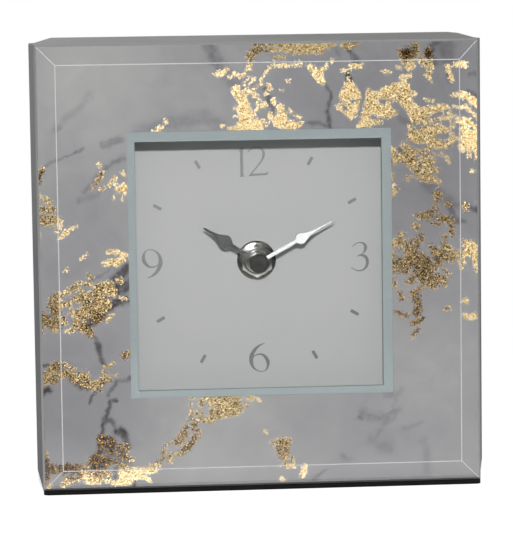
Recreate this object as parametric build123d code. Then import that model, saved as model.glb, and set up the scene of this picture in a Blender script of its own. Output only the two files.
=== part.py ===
"""Square glass-clad table clock with a recessed dial and a quartz movement.

Millimetres, +Z up, the dial faces -Y, origin at the middle of the underside.
"""

import math
import os

from build123d import *

# Front plate of bevelled glass, printed on its back around a clear square window
plate_width = 149.5
plate_height = 150.5
plate_thick = 5.0
plate_edge = 2.7
plate_bevel = 6.9
plate_arris = 0.8
print_thick = 0.3
window_width = 89.3
window_height = 90.2
window_shift = (0.3, 0.5)

# Bevelled panes on the top and the two sides
pane_thick = 4.2
pane_edge = 2.4
pane_bevel = 5.8

# Carcass boards, rebated spacer rails behind the window, and the dial
board_thick = 9.0
sight_width = 83.4
sight_height = 84.4
lip_thick = 2.5
lip_reach = 10.0
recess_depth = 16.2
dial_gap = 1.0
dial_thick = 2.0

# Pad under the base
pad_thick = 1.2
pad_inset = 0.2
pad_corner = 2.0

# Back panel with its cut-out and screws
panel_thick = 3.0
cutout_gap = 2.0
cutout_corner = 3.0
rear_sink = 1.5
screw_shank = 2.8
screw_head = 5.6
screw_length = 14.0
screw_inset = 6.0

# Movement housing, its battery bay and its cover
case_corner = 2.5
case_wall = 1.2
bay_side_wall = 1.4
gasket_thick = 1.0
gasket_outer = 16.0

# Battery, one AA cell, and its contacts
cell_diameter = 14.5
cell_length = 49.2
nub_diameter = 5.5
nub_length = 1.3
cell_round = 0.6
cell_end_gap = 0.35
contact_thick = 0.4
contact_width = 11.0
contact_height = 9.0
spring_reach = 1.2
spring_width = 7.4

# Threaded bush, washer and hex nut on the dial
bush_outer = 8.0
bush_flange = 11.0
bush_flange_thick = 0.8
thread_show = 1.2
washer_outer = 13.4
washer_thick = 0.8
nut_flats = 10.0
nut_thick = 2.6
nut_chamfer = 0.5

# Hour tube, minute arbor, second arbor and the hands
hour_tube_outer = 5.0
minute_arbor_outer = 3.1
minute_seat_outer = 2.6
second_arbor_outer = 1.0
hand_thick = 0.45
hand_gap = 1.35
hour_collet_outer = 6.8
hour_collet_length = 1.2
hour_collet_gap = 0.8
hour_tube_show = 0.25
minute_hub_outer = 6.2
cap_outer = 6.8
cap_length = 3.2
cap_wall = 0.8
cap_gap = 0.25
cap_round = 1.0
second_arbor_sink = 0.6

# Hand outlines: lengths along the hand from the arbor, one after the other, and the widths between them
hour_hand_plan = {"stem_length": 10.3, "shoulder_length": 2.1, "taper_length": 6.2, "point_length": 2.9,
                  "stem_width": 1.5, "bulb_width": 4.5, "neck_width": 1.3, "tip_width": 0.9}
minute_hand_plan = {"stem_length": 15.0, "shoulder_length": 1.7, "taper_length": 6.3, "point_length": 6.5,
                    "stem_width": 1.3, "bulb_width": 3.8, "neck_width": 1.2, "tip_width": 0.75}
shoulder_swell = math.sin(math.radians(45))
taper_hollow = 0.38
hour_angle = 305.0
minute_angle = 60.0

# Gear teeth: counts, the module of the pair that sets each spacing, and the tooth form
rotor_teeth = 8
intermediate_teeth = 48
intermediate_leaves = 8
second_teeth = 40
second_leaves = 8
third_teeth = 60
third_leaves = 8
centre_teeth = 64
cannon_leaves = 12
minute_teeth = 36
minute_leaves = 10
hour_teeth = 40
rotor_module = 0.28
second_module = 0.36
centre_module = 0.26
addendum = 0.7
dedendum = 1.0
pressure_angle = 25.0
backlash = 0.2
gear_thick = 0.8
layer_gap = 0.5
setting_arbor_gap = 0.7

# Directions of the arbors round the movement, seen from the front
third_bearing = 90.0
intermediate_bearing = 180.0
rotor_bearing = 135.0
minute_bearing = 0.0

# Arbors and pivots
arbor_outer = 1.0
setting_arbor_outer = 1.6
post_outer = 1.2
hub_outer = 2.6
pivot_depth = 0.7

# Setting knob in its well
knob_outer = 12.5
knob_thick = 3.2
knob_ribs = 24
knob_rib_depth = 0.5
well_gap = 0.6
well_depth = 2.2

# Stepping motor and electronics
magnet_outer = 4.6
magnet_thick = 2.6
stator_gap = 0.4
stator_thick = 0.8
stator_width = 6.6
stator_leg = 3.4
stator_post = 2.4
coil_outer = 6.4
coil_length = 20.0
bobbin_flange = 7.2
bobbin_tube = 3.4
bobbin_flange_thick = 0.8
core_width = 2.0
core_thick = 0.8
core_bore = 2.4
coil_wall_gap = 0.4
circuit_width = 14.0
circuit_height = 13.0
circuit_thick = 1.0
crystal_outer = 2.0
crystal_length = 6.0
chip_outer = 5.0
chip_height = 1.2
chip_place = (-3.2, -3.0)
crystal_place = (0.0, 3.6)

# Clearances: pieces fixed together, shafts that run, and parts that stand clear of each other
seat_clear = 0.02
run_clear = 0.05
pass_clear = 0.3

# Battery bay round its cell, and the housing's thickness
bay_height = cell_diameter + 2 * pass_clear
bay_length = cell_length + nub_length + spring_reach + 2 * (contact_thick + cell_end_gap)
case_thick = case_wall + pass_clear + cell_diameter

# Places worked out from the sizes above
depth = plate_thick + print_thick + recess_depth + dial_thick + gasket_thick + case_thick + rear_sink
y_front = -depth / 2
y_glass = y_front + plate_thick
y_print = y_glass + print_thick
y_dial = y_print + recess_depth
y_dial_back = y_dial + dial_thick
y_case = y_dial_back + gasket_thick
y_case_inner = y_case + case_wall
y_case_back = y_case + case_thick
y_cover = y_case_back - case_wall
y_back = depth / 2
y_panel = y_back - panel_thick

z_plate = pad_thick
z_plate_top = z_plate + plate_height
z_axle = z_plate + plate_height / 2
x_carcass = plate_width / 2 - pane_edge
x_cavity = x_carcass - board_thick
z_carcass_top = z_plate_top - pane_edge
z_cavity_base = z_plate + board_thick
z_cavity_top = z_carcass_top - board_thick

# Front ends of the stack on the dial, from the bush outwards
y_bush = y_dial - washer_thick - nut_thick - thread_show
y_hour_hand = y_bush - hour_collet_gap - hour_collet_length
y_hour_tube = y_hour_hand - hand_thick - hour_tube_show
y_minute_hand = y_hour_hand - hand_thick - hand_gap
y_cap = y_minute_hand - hand_thick - cap_length
y_minute_arbor = y_cap + cap_wall + cap_gap
y_second_arbor = y_minute_arbor + second_arbor_sink

# Bores that follow the shafts they carry
bush_bore = hour_tube_outer + 2 * run_clear
hour_bore = minute_arbor_outer + 2 * run_clear
minute_bore = second_arbor_outer + 2 * run_clear
bush_hole = bush_outer + 2 * seat_clear

# Layers of the train, front to back, one gear thick each
y_hour_gear = y_case_inner + bush_flange_thick + layer_gap
y_cannon_gear = y_hour_gear + gear_thick + layer_gap
y_centre_gear = y_cannon_gear + gear_thick + layer_gap
y_third_gear = y_centre_gear + gear_thick + layer_gap
y_second_gear = y_third_gear + gear_thick + layer_gap
y_intermediate_gear = y_second_gear + gear_thick + layer_gap

# Spacing of the arbors, and the modules of the pairs that share a spacing
third_spacing = centre_module * (centre_teeth + third_leaves) / 2
third_module = 2 * third_spacing / (third_teeth + second_leaves)
intermediate_spacing = second_module * (second_teeth + intermediate_leaves) / 2
rotor_spacing = rotor_module * (rotor_teeth + intermediate_teeth) / 2
centre_tip = centre_module * (centre_teeth / 2 + addendum)
minute_spacing = centre_tip + setting_arbor_gap + setting_arbor_outer / 2
hour_module = 2 * minute_spacing / (hour_teeth + minute_leaves)
cannon_module = 2 * minute_spacing / (cannon_leaves + minute_teeth)


def step_from(place, distance, bearing):
    turn = math.radians(bearing)
    return (place[0] + distance * math.cos(turn), place[1] + distance * math.sin(turn))


centre_at = (0.0, z_axle)
third_at = step_from(centre_at, third_spacing, third_bearing)
intermediate_at = step_from(centre_at, intermediate_spacing, intermediate_bearing)
rotor_at = step_from(intermediate_at, rotor_spacing, rotor_bearing)
minute_at = step_from(centre_at, minute_spacing, minute_bearing)

# The housing takes the widest of three: its cell, the motor left of the axle, the train above the bay
cell_half = bay_length / 2 + bay_side_wall
motor_half = stator_width / 2 - rotor_at[0] + pass_clear + bobbin_flange + coil_wall_gap + case_wall
train_half = centre_tip + pass_clear + bay_height + 2 * case_wall
case_half = max(cell_half, motor_half, train_half)
case_side = 2 * case_half
z_case_base = z_axle - case_half
z_case_top = z_axle + case_half
z_bay_top = z_case_base + case_wall + bay_height
z_room_base = z_bay_top + case_wall
z_cell = z_case_base + case_wall + bay_height / 2
y_cell = y_case_inner + pass_clear + cell_diameter / 2
x_bay = bay_length / 2

y_magnet = y_intermediate_gear + gear_thick + layer_gap
y_stator = y_magnet + (magnet_thick - stator_thick) / 2
y_core = y_stator - core_thick / 2
x_coil = -case_half + case_wall + coil_wall_gap + bobbin_flange / 2
coil_half = coil_length / 2 + bobbin_flange_thick
leg_centre = coil_half + pass_clear + stator_leg / 2
stator_half = leg_centre + stator_leg / 2
z_coil = z_room_base + pass_clear + stator_half


def block(x0, x1, y0, y1, z0, z1):
    return Pos((x0 + x1) / 2, (y0 + y1) / 2, (z0 + z1) / 2) * Box(x1 - x0, y1 - y0, z1 - z0)


def rod(place, y0, y1, diameter):
    middle = Pos(place[0], (y0 + y1) / 2, place[1])
    return middle * Rot(90, 0, 0) * Cylinder(diameter / 2, y1 - y0)


def ring(place, y0, y1, outer, bore):
    return rod(place, y0, y1, outer) - rod(place, y0, y1, bore)


def facing_front(place, y_rear):
    """Drawing plane seen from the front: its normal points forward, so extrusions grow towards the viewer."""
    return Plane((place[0], y_rear, place[1]), x_dir=(1, 0, 0), z_dir=(0, -1, 0))


def bevelled_sheet(width, height, thick, edge, bevel):
    rim = extrude(Rectangle(width, height), edge)
    lower = Pos(0, 0, edge) * Rectangle(width, height)
    upper = Pos(0, 0, thick) * Rectangle(width - 2 * bevel, height - 2 * bevel)
    return rim + loft([lower, upper], ruled=True)


# Front plate, print and panes


def front_glass():
    """Bevelled plate whose sharp rim is taken off all round by a narrow arris."""
    sheet = bevelled_sheet(plate_width, plate_height, plate_thick, plate_edge, plate_bevel)
    rim = sheet.edges().filter_by(Plane.XY).group_by(Axis.Z)[1]
    return facing_front((0, z_axle), y_glass) * chamfer(rim, plate_arris)


def marble_print():
    sheet = Rectangle(plate_width, plate_height)
    sheet -= Pos(*window_shift) * Rectangle(window_width, window_height)
    return facing_front((0, z_axle), y_print) * extrude(sheet, print_thick)


pane_depth = y_back - y_print
y_pane = (y_print + y_back) / 2


def mitre_plane(side):
    """45 degree plane through a top corner; its normal points up and inwards."""
    corner = (side * plate_width / 2, 0, z_plate_top)
    return Plane(corner, x_dir=(0, 1, 0), z_dir=(-side, 0, 1))


def side_glass(side):
    """Bevelled along its front, rear and foot; cut square at the top and mitred under the top pane."""
    length = plate_height + 2 * pane_bevel
    sheet = bevelled_sheet(pane_depth, length, pane_thick, pane_edge, pane_bevel)
    plane = Plane((side * x_carcass, y_pane, z_plate + length / 2), x_dir=(0, 1, 0), z_dir=(side, 0, 0))
    pane = split(plane * sheet, bisect_by=Plane((0, 0, z_plate_top)), keep=Keep.BOTTOM)
    return split(pane, bisect_by=mitre_plane(side), keep=Keep.BOTTOM)


def top_glass():
    sheet = bevelled_sheet(plate_width, pane_depth, pane_thick, pane_edge, pane_bevel)
    pane = Pos(0, y_pane, z_carcass_top) * sheet
    for side in (-1, 1):
        pane = split(pane, bisect_by=mitre_plane(side), keep=Keep.TOP)
    return pane


# Carcass, rails, pad and back panel

screw_places = [
    (side * (x_carcass - board_thick / 2), height)
    for side in (-1, 1)
    for height in (z_cavity_base + screw_inset, z_cavity_top - screw_inset)
]


def carcass_side(side):
    inner, outer = sorted((side * x_cavity, side * x_carcass))
    board = block(inner, outer, y_print, y_panel, z_cavity_base, z_cavity_top)
    for place in screw_places:
        board -= rod(place, y_back - screw_length - pass_clear, y_panel, screw_shank + 2 * seat_clear)
    return board


def carcass_level(z0, z1):
    return block(-x_carcass, x_carcass, y_print, y_panel, z0, z1)


def spacer_level(side, z_wall):
    """Rail as deep as the recess, with a thin lip at the front that frames the dial."""
    z_sight = z_axle + side * sight_height / 2
    z0, z1 = sorted((z_sight, z_wall))
    z2, z3 = sorted((z_sight + side * lip_reach, z_wall))
    lip = block(-x_cavity, x_cavity, y_print, y_print + lip_thick, z0, z1)
    return lip + block(-x_cavity, x_cavity, y_print, y_dial, z2, z3)


def spacer_side(side):
    z0 = z_axle - sight_height / 2
    z1 = z_axle + sight_height / 2
    x_sight = side * sight_width / 2
    x0, x1 = sorted((x_sight, side * x_cavity))
    x2, x3 = sorted((x_sight + side * lip_reach, side * x_cavity))
    return block(x0, x1, y_print, y_print + lip_thick, z0, z1) + block(x2, x3, y_print, y_dial, z0, z1)


def dial_plate():
    across = x_cavity - dial_gap
    rise = z_cavity_top - z_axle - dial_gap
    plate = block(-across, across, y_dial, y_dial_back, z_axle - rise, z_axle + rise)
    return plate - rod(centre_at, y_dial, y_dial_back, bush_hole)


def base_pad():
    outline = RectangleRounded(plate_width - 2 * pad_inset, depth - 2 * pad_inset, pad_corner)
    return extrude(outline, pad_thick)


def back_panel():
    middle = (z_plate + z_carcass_top) / 2
    opening = case_side + 2 * cutout_gap
    sheet = Rectangle(2 * x_carcass, z_carcass_top - z_plate)
    sheet -= Pos(0, z_axle - middle) * RectangleRounded(opening, opening, cutout_corner)
    panel = facing_front((0, middle), y_back) * extrude(sheet, panel_thick)
    for place in screw_places:
        panel -= screw(place, seat_clear)
    return panel


def screw(place, clear):
    """Countersunk wood screw, head flush with the back of the panel."""
    sink = (screw_head - screw_shank) / 2
    head = Pos(place[0], y_back - sink / 2, place[1]) * Rot(-90, 0, 0)
    cone = head * Cone(screw_shank / 2 + clear, screw_head / 2 + clear, sink)
    return cone + rod(place, y_back - screw_length, y_back - sink, screw_shank + 2 * clear)


def panel_screws():
    return Compound(children=[screw(place, 0.0) for place in screw_places])


# Movement housing and what is fixed in it


def case_outline():
    return RectangleRounded(case_side, case_side, case_corner)


def pivot_holes(y0, y1):
    """Bearing holes for the third wheel, the rotor and the setting arbor."""
    holes = [
        rod(third_at, y0, y1, arbor_outer + 2 * run_clear),
        rod(rotor_at, y0, y1, arbor_outer + 2 * run_clear),
        rod(minute_at, y0, y1, setting_arbor_outer + 2 * run_clear),
    ]
    return holes


stator_places = [(rotor_at[0], z_coil + side * leg_centre) for side in (-1, 1)]


def movement_housing():
    shell = facing_front(centre_at, y_case_back) * extrude(case_outline(), case_thick)
    room_half = case_half - case_wall
    room_top = z_case_top - case_wall
    shell -= block(-room_half, room_half, y_case_inner, y_case_back, z_room_base, room_top)
    shell -= block(-x_bay, x_bay, y_case_inner, y_case_back, z_case_base + case_wall, z_bay_top)
    shell -= block(-case_half, case_half, y_cover, y_case_back, z_bay_top, z_case_top)
    shell -= rod(centre_at, y_case, y_case_inner, bush_hole)
    for hole in pivot_holes(y_case_inner - pivot_depth, y_case_inner):
        shell -= hole
    for place in stator_places:
        shell += rod(place, y_case_inner, y_stator, stator_post)
    return shell


def movement_cover():
    """Lid over the train, with the knob's well and the post that the intermediate wheel turns on."""
    lid = facing_front(centre_at, y_case_back) * extrude(case_outline(), case_wall)
    lid -= block(-case_half, case_half, y_cover, y_case_back, z_case_base, z_bay_top)
    well = knob_outer + 2 * well_gap
    lid += rod(minute_at, y_cover - well_depth, y_cover, well + 2 * case_wall)
    lid -= rod(minute_at, y_cover - well_depth + case_wall, y_case_back, well)
    lid -= rod(minute_at, y_cover - well_depth, y_case_back, setting_arbor_outer + 2 * run_clear)
    for place in (third_at, rotor_at, centre_at):
        lid -= rod(place, y_cover, y_cover + pivot_depth, arbor_outer + 2 * run_clear)
    boss_front = y_intermediate_gear + gear_thick + layer_gap
    lid += rod(intermediate_at, boss_front, y_cover, hub_outer)
    return lid + rod(intermediate_at, y_second_gear, boss_front, post_outer)


def threaded_bush():
    tube = rod(centre_at, y_bush, y_case_inner, bush_outer)
    tube += rod(centre_at, y_case_inner, y_case_inner + bush_flange_thick, bush_flange)
    return tube - rod(centre_at, y_bush, y_case_inner + bush_flange_thick, bush_bore)


def rubber_gasket():
    return ring(centre_at, y_dial_back, y_case, gasket_outer, bush_hole)


def dial_washer():
    return ring(centre_at, y_dial - washer_thick, y_dial, washer_outer, bush_hole)


def hex_nut():
    """Hex nut with its corners turned down at the front, one corner straight down."""
    rear = y_dial - washer_thick
    outline = RegularPolygon(nut_flats / 2, 6, major_radius=False, rotation=30)
    nut = facing_front(centre_at, rear) * extrude(outline, nut_thick)
    across = nut_flats / math.cos(math.radians(30))
    turned = Rot(90, 0, 0) * Cylinder(across / 2, nut_thick)
    front_edge = turned.edges().group_by(Axis.Y)[0]
    turned = chamfer(front_edge, nut_chamfer, 2 * nut_chamfer)
    nut &= Pos(0, rear - nut_thick / 2, z_axle) * turned
    return nut - rod(centre_at, rear - nut_thick, rear, bush_hole)


# Gears


def gear_profile(teeth, module, phase):
    """Straight-flanked stub teeth; the first one is centred on the angle phase."""
    pitch = module * teeth / 2
    tip = pitch + addendum * module
    root = pitch - dedendum * module
    pitch_half = math.pi / (2 * teeth) - backlash * module / (2 * pitch)
    lean = math.radians(pressure_angle)
    base = pitch * math.cos(lean)

    def flank_half(radius):
        """Half the tooth's angle at a radius, from the involute; radial below its base circle."""
        slope = math.acos(min(1.0, base / radius))
        return pitch_half + (math.tan(lean) - lean) - (math.tan(slope) - slope)

    points = []
    for index in range(teeth):
        middle = math.radians(phase) + 2 * math.pi * index / teeth
        for radius, side in ((root, -1), (tip, -1), (tip, 1), (root, 1)):
            angle = middle + side * flank_half(radius)
            points.append((radius * math.cos(angle), radius * math.sin(angle)))
    return Polygon(*points, align=None)


def gear(place, y0, teeth, module, phase=0.0):
    return facing_front(place, y0 + gear_thick) * extrude(gear_profile(teeth, module, phase), gear_thick)


def mating_phase(teeth, place, mate_teeth, mate_place, phase=0.0):
    """Phase that puts a gap of the mate round the tooth of a gear whose first tooth is at phase."""
    towards = math.degrees(math.atan2(mate_place[1] - place[1], mate_place[0] - place[0]))
    gap = towards + 180 - (phase - towards) * teeth / mate_teeth
    return gap + 180 / mate_teeth


y_pivot_front = y_case_inner - pivot_depth + run_clear
y_pivot_back = y_cover + pivot_depth - run_clear


def hour_wheel():
    phase = mating_phase(minute_leaves, minute_at, hour_teeth, centre_at)
    wheel = gear(centre_at, y_hour_gear, hour_teeth, hour_module, phase)
    rear = y_hour_gear + gear_thick
    wheel += rod(centre_at, y_hour_tube, rear, hour_tube_outer)
    return wheel - rod(centre_at, y_hour_tube, rear, hour_bore)


def minute_arbor():
    """Tube that carries the minute hand, with the cannon pinion cut on it."""
    rear = y_centre_gear + gear_thick + layer_gap / 2
    arbor = rod(centre_at, y_minute_hand, rear, minute_arbor_outer)
    arbor += rod(centre_at, y_minute_arbor, y_minute_hand, minute_seat_outer)
    arbor += gear(centre_at, y_cannon_gear, cannon_leaves, cannon_module)
    return arbor - rod(centre_at, y_minute_arbor, rear, minute_bore)


def centre_wheel():
    """Wheel that drives the minute arbor through its friction fit, and slips when the hands are set."""
    phase = mating_phase(third_leaves, third_at, centre_teeth, centre_at)
    wheel = gear(centre_at, y_centre_gear, centre_teeth, centre_module, phase)
    return wheel - rod(centre_at, y_centre_gear, y_centre_gear + gear_thick, hour_bore)


def minute_wheel():
    """Reducing wheel between the cannon pinion and the hour wheel, on the arbor that ends in the knob."""
    phase = mating_phase(cannon_leaves, centre_at, minute_teeth, minute_at)
    wheel = gear(minute_at, y_cannon_gear, minute_teeth, cannon_module, phase)
    wheel += gear(minute_at, y_hour_gear, minute_leaves, hour_module)
    wheel += rod(minute_at, y_hour_gear + gear_thick, y_cannon_gear, hub_outer)
    return wheel + rod(minute_at, y_pivot_front, y_knob + knob_thick - case_wall, setting_arbor_outer)


y_knob = y_cover - well_depth + case_wall + pass_clear


def setting_knob():
    """Thumb knob with ribs round its rim, seated on the setting arbor."""
    knob = rod(minute_at, y_knob, y_knob + knob_thick, knob_outer)
    rib_width = math.pi * knob_outer / (2 * knob_ribs)
    for index in range(knob_ribs):
        place = step_from(minute_at, knob_outer / 2, 360 * index / knob_ribs)
        groove = Box(2 * knob_rib_depth, knob_thick, rib_width)
        turn = Rot(0, -360 * index / knob_ribs, 0)
        knob -= Pos(place[0], y_knob + knob_thick / 2, place[1]) * turn * groove
    bore = rod(minute_at, y_knob, y_knob + knob_thick - case_wall, setting_arbor_outer + 2 * seat_clear)
    return knob - bore


def second_wheel():
    """Wheel that turns once a minute; its arbor runs through the minute arbor."""
    phase = mating_phase(intermediate_leaves, intermediate_at, second_teeth, centre_at)
    wheel = gear(centre_at, y_second_gear, second_teeth, second_module, phase)
    wheel += gear(centre_at, y_third_gear, second_leaves, third_module)
    return wheel + rod(centre_at, y_second_arbor, y_pivot_back, second_arbor_outer)


def third_wheel():
    phase = mating_phase(second_leaves, centre_at, third_teeth, third_at)
    wheel = gear(third_at, y_third_gear, third_teeth, third_module, phase)
    wheel += gear(third_at, y_centre_gear, third_leaves, centre_module)
    return wheel + rod(third_at, y_pivot_front, y_pivot_back, arbor_outer)


def intermediate_wheel():
    phase = mating_phase(rotor_teeth, rotor_at, intermediate_teeth, intermediate_at)
    rear = y_intermediate_gear + gear_thick
    wheel = gear(intermediate_at, y_intermediate_gear, intermediate_teeth, rotor_module, phase)
    wheel += gear(intermediate_at, y_second_gear, intermediate_leaves, second_module)
    wheel += rod(intermediate_at, y_second_gear + gear_thick, y_intermediate_gear, hub_outer)
    return wheel - rod(intermediate_at, y_second_gear, rear, post_outer + 2 * run_clear)


def rotor_pinion():
    arbor = rod(rotor_at, y_pivot_front, y_pivot_back, arbor_outer)
    return arbor + gear(rotor_at, y_intermediate_gear, rotor_teeth, rotor_module)


def rotor_magnet():
    return ring(rotor_at, y_magnet, y_magnet + magnet_thick, magnet_outer, arbor_outer + 2 * seat_clear)


# Stepping motor, electronics and battery


def stator():
    """Flat iron plate round the rotor, with a leg behind each end of the coil core."""
    x0 = rotor_at[0] - stator_width / 2
    plate = block(x0, x0 + stator_width, y_stator, y_stator + stator_thick,
                  z_coil - stator_half, z_coil + stator_half)
    for side in (-1, 1):
        middle = z_coil + side * leg_centre
        plate += block(x_coil - core_width / 2, x0, y_stator, y_stator + stator_thick,
                       middle - stator_leg / 2, middle + stator_leg / 2)
    return plate - rod(rotor_at, y_stator, y_stator + stator_thick, magnet_outer + 2 * stator_gap)


def coil_core():
    return block(x_coil - core_width / 2, x_coil + core_width / 2, y_core - core_thick / 2,
                 y_core + core_thick / 2, z_coil - stator_half, z_coil + stator_half)


def coil_bobbin():
    bobbin = Pos(x_coil, y_core, z_coil) * Cylinder(bobbin_tube / 2, coil_length)
    for side in (-1, 1):
        z_flange = z_coil + side * (coil_length + bobbin_flange_thick) / 2
        bobbin += Pos(x_coil, y_core, z_flange) * Cylinder(bobbin_flange / 2, bobbin_flange_thick)
    return bobbin - Pos(x_coil, y_core, z_coil) * Box(core_bore, core_thick + 2 * seat_clear, 2 * coil_half)


def coil_winding():
    outer = Cylinder(coil_outer / 2, coil_length)
    return Pos(x_coil, y_core, z_coil) * (outer - Cylinder(bobbin_tube / 2 + seat_clear, coil_length))


x_circuit = case_half - case_wall - pass_clear - circuit_width / 2
z_circuit = z_case_top - case_wall - pass_clear - circuit_height / 2
y_circuit = y_case_inner + circuit_thick


def circuit_board():
    return block(x_circuit - circuit_width / 2, x_circuit + circuit_width / 2, y_case_inner, y_circuit,
                 z_circuit - circuit_height / 2, z_circuit + circuit_height / 2)


def quartz_crystal():
    """Round can lying on its flat foot."""
    place = Pos(x_circuit + crystal_place[0], y_circuit + crystal_outer / 2, z_circuit + crystal_place[1])
    can = Rot(0, 90, 0) * Cylinder(crystal_outer / 2, crystal_length)
    foot = Pos(0, -crystal_outer / 4, 0) * Box(crystal_length, crystal_outer / 2, crystal_outer / 2)
    return place * (can + foot)


def chip_cover():
    """Drop of resin over the bare chip."""
    radius = (chip_outer**2 / 4 + chip_height**2) / (2 * chip_height)
    centre = Pos(x_circuit + chip_place[0], y_circuit + chip_height - radius, z_circuit + chip_place[1])
    drop = centre * Sphere(radius)
    reach = 2 * radius
    half_space = block(x_circuit - reach, x_circuit + reach, y_circuit, y_circuit + reach,
                       z_circuit - reach, z_circuit + reach)
    return drop & half_space


def battery_cell():
    """AA cell lying across the bay, its button to the right."""
    middle = Pos((spring_reach - nub_length) / 2, y_cell, z_cell)
    can = Cylinder(cell_diameter / 2, cell_length)
    can = fillet(can.edges(), cell_round)
    nub = Pos(0, 0, (cell_length + nub_length) / 2) * Cylinder(nub_diameter / 2, nub_length)
    return middle * Rot(0, 90, 0) * (can + nub)


def contact_plate(side):
    x0, x1 = sorted((side * (x_bay - contact_thick), side * x_bay))
    return block(x0, x1, y_cell - contact_width / 2, y_cell + contact_width / 2,
                 z_cell - contact_height / 2, z_cell + contact_height / 2)


def contact_negative():
    """Flat tag with a bowed spring tongue pressed out of it."""
    inner = -x_bay + contact_thick
    half = spring_width / 2
    bow = ThreePointArc((inner, -half), (inner + spring_reach, 0), (inner, half))
    inside = ThreePointArc((inner, -half + contact_thick), (inner + spring_reach - contact_thick, 0),
                           (inner, half - contact_thick))
    lower = Line(inside @ 0, bow @ 0)
    upper = Line(inside @ 1, bow @ 1)
    tongue = extrude(make_face([bow, inside, lower, upper]), contact_height / 2)
    return contact_plate(-1) + Pos(0, y_cell, z_cell - contact_height / 4) * tongue


# Hands and cap nut


def hand_outline(plan):
    """Half of a spade hand, mirrored: stem, round shoulder, hollow taper and narrow blunt tip."""
    stem = plan["stem_width"] / 2
    wide = plan["bulb_width"] / 2
    neck = plan["neck_width"] / 2
    tip = plan["tip_width"] / 2
    shoulder_at = plan["stem_length"]
    wide_at = shoulder_at + plan["shoulder_length"]
    neck_at = wide_at + plan["taper_length"]
    tip_at = neck_at + plan["point_length"]
    swell = (stem + shoulder_swell * (wide - stem), wide_at - shoulder_swell * plan["shoulder_length"])
    hollow_at = (neck + taper_hollow * (wide - neck), (wide_at + neck_at) / 2)
    inner = Line((0, 0), (stem, 0))
    edge = Line((stem, 0), (stem, shoulder_at))
    shoulder = ThreePointArc((stem, shoulder_at), swell, (wide, wide_at))
    hollow = ThreePointArc((wide, wide_at), hollow_at, (neck, neck_at))
    point = Line((neck, neck_at), (tip, tip_at))
    end = Line((tip, tip_at), (0, tip_at))
    spine = Line((0, tip_at), (0, 0))
    half = make_face([inner, edge, shoulder, hollow, point, end, spine])
    return half + mirror(half, about=Plane.YZ)


def hand(plan, y_rear, angle, hub):
    outline = hand_outline(plan) + Circle(hub / 2)
    blade = Plane((0, 0, 0), x_dir=(1, 0, 0), z_dir=(0, -1, 0)) * extrude(outline, hand_thick)
    return Pos(0, y_rear, z_axle) * Rot(0, angle, 0) * blade


def hour_hand():
    collet_rear = y_hour_hand + hour_collet_length
    blade = hand(hour_hand_plan, y_hour_hand, hour_angle, hour_collet_outer)
    blade += rod(centre_at, y_hour_hand, collet_rear, hour_collet_outer)
    return blade - rod(centre_at, y_hour_hand - hand_thick, collet_rear, hour_tube_outer + 2 * seat_clear)


def minute_hand():
    front = y_minute_hand - hand_thick
    blade = hand(minute_hand_plan, y_minute_hand, minute_angle, minute_hub_outer)
    return blade - rod(centre_at, front, y_minute_hand, minute_seat_outer + 2 * seat_clear)


def cap_nut():
    """Closed cap over the end of the minute arbor, clamping the minute hand."""
    cap = Rot(90, 0, 0) * Cylinder(cap_outer / 2, cap_length)
    cap = fillet(cap.edges().group_by(Axis.Y)[0], cap_round)
    cap = Pos(0, y_cap + cap_length / 2, z_axle) * cap
    return cap - rod(centre_at, y_cap + cap_wall, y_cap + cap_length, minute_seat_outer + 2 * seat_clear)


parts = {
    "front_glass": front_glass(),
    "marble_print": marble_print(),
    "left_glass": side_glass(-1),
    "right_glass": side_glass(1),
    "top_glass": top_glass(),
    "carcass_left": carcass_side(-1),
    "carcass_right": carcass_side(1),
    "carcass_base": carcass_level(z_plate, z_cavity_base),
    "carcass_top": carcass_level(z_cavity_top, z_carcass_top),
    "spacer_bottom": spacer_level(-1, z_cavity_base),
    "spacer_top": spacer_level(1, z_cavity_top),
    "spacer_left": spacer_side(-1),
    "spacer_right": spacer_side(1),
    "dial_plate": dial_plate(),
    "base_pad": base_pad(),
    "back_panel": back_panel(),
    "panel_screws": panel_screws(),
    "movement_housing": movement_housing(),
    "movement_cover": movement_cover(),
    "threaded_bush": threaded_bush(),
    "rubber_gasket": rubber_gasket(),
    "dial_washer": dial_washer(),
    "hex_nut": hex_nut(),
    "hour_wheel": hour_wheel(),
    "minute_arbor": minute_arbor(),
    "centre_wheel": centre_wheel(),
    "minute_wheel": minute_wheel(),
    "setting_knob": setting_knob(),
    "second_wheel": second_wheel(),
    "third_wheel": third_wheel(),
    "intermediate_wheel": intermediate_wheel(),
    "rotor_pinion": rotor_pinion(),
    "rotor_magnet": rotor_magnet(),
    "stator": stator(),
    "coil_core": coil_core(),
    "coil_bobbin": coil_bobbin(),
    "coil_winding": coil_winding(),
    "circuit_board": circuit_board(),
    "quartz_crystal": quartz_crystal(),
    "chip_cover": chip_cover(),
    "battery_cell": battery_cell(),
    "contact_positive": contact_plate(1),
    "contact_negative": contact_negative(),
    "hour_hand": hour_hand(),
    "minute_hand": minute_hand(),
    "cap_nut": cap_nut(),
}

os.makedirs("parts", exist_ok=True)
for name, solid in parts.items():
    export_step(solid, f"parts/{name}.step")
print(len(parts), "parts")
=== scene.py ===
import math

import bmesh
import bpy
import numpy as np
from mathutils import Matrix, Vector, noise


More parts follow.
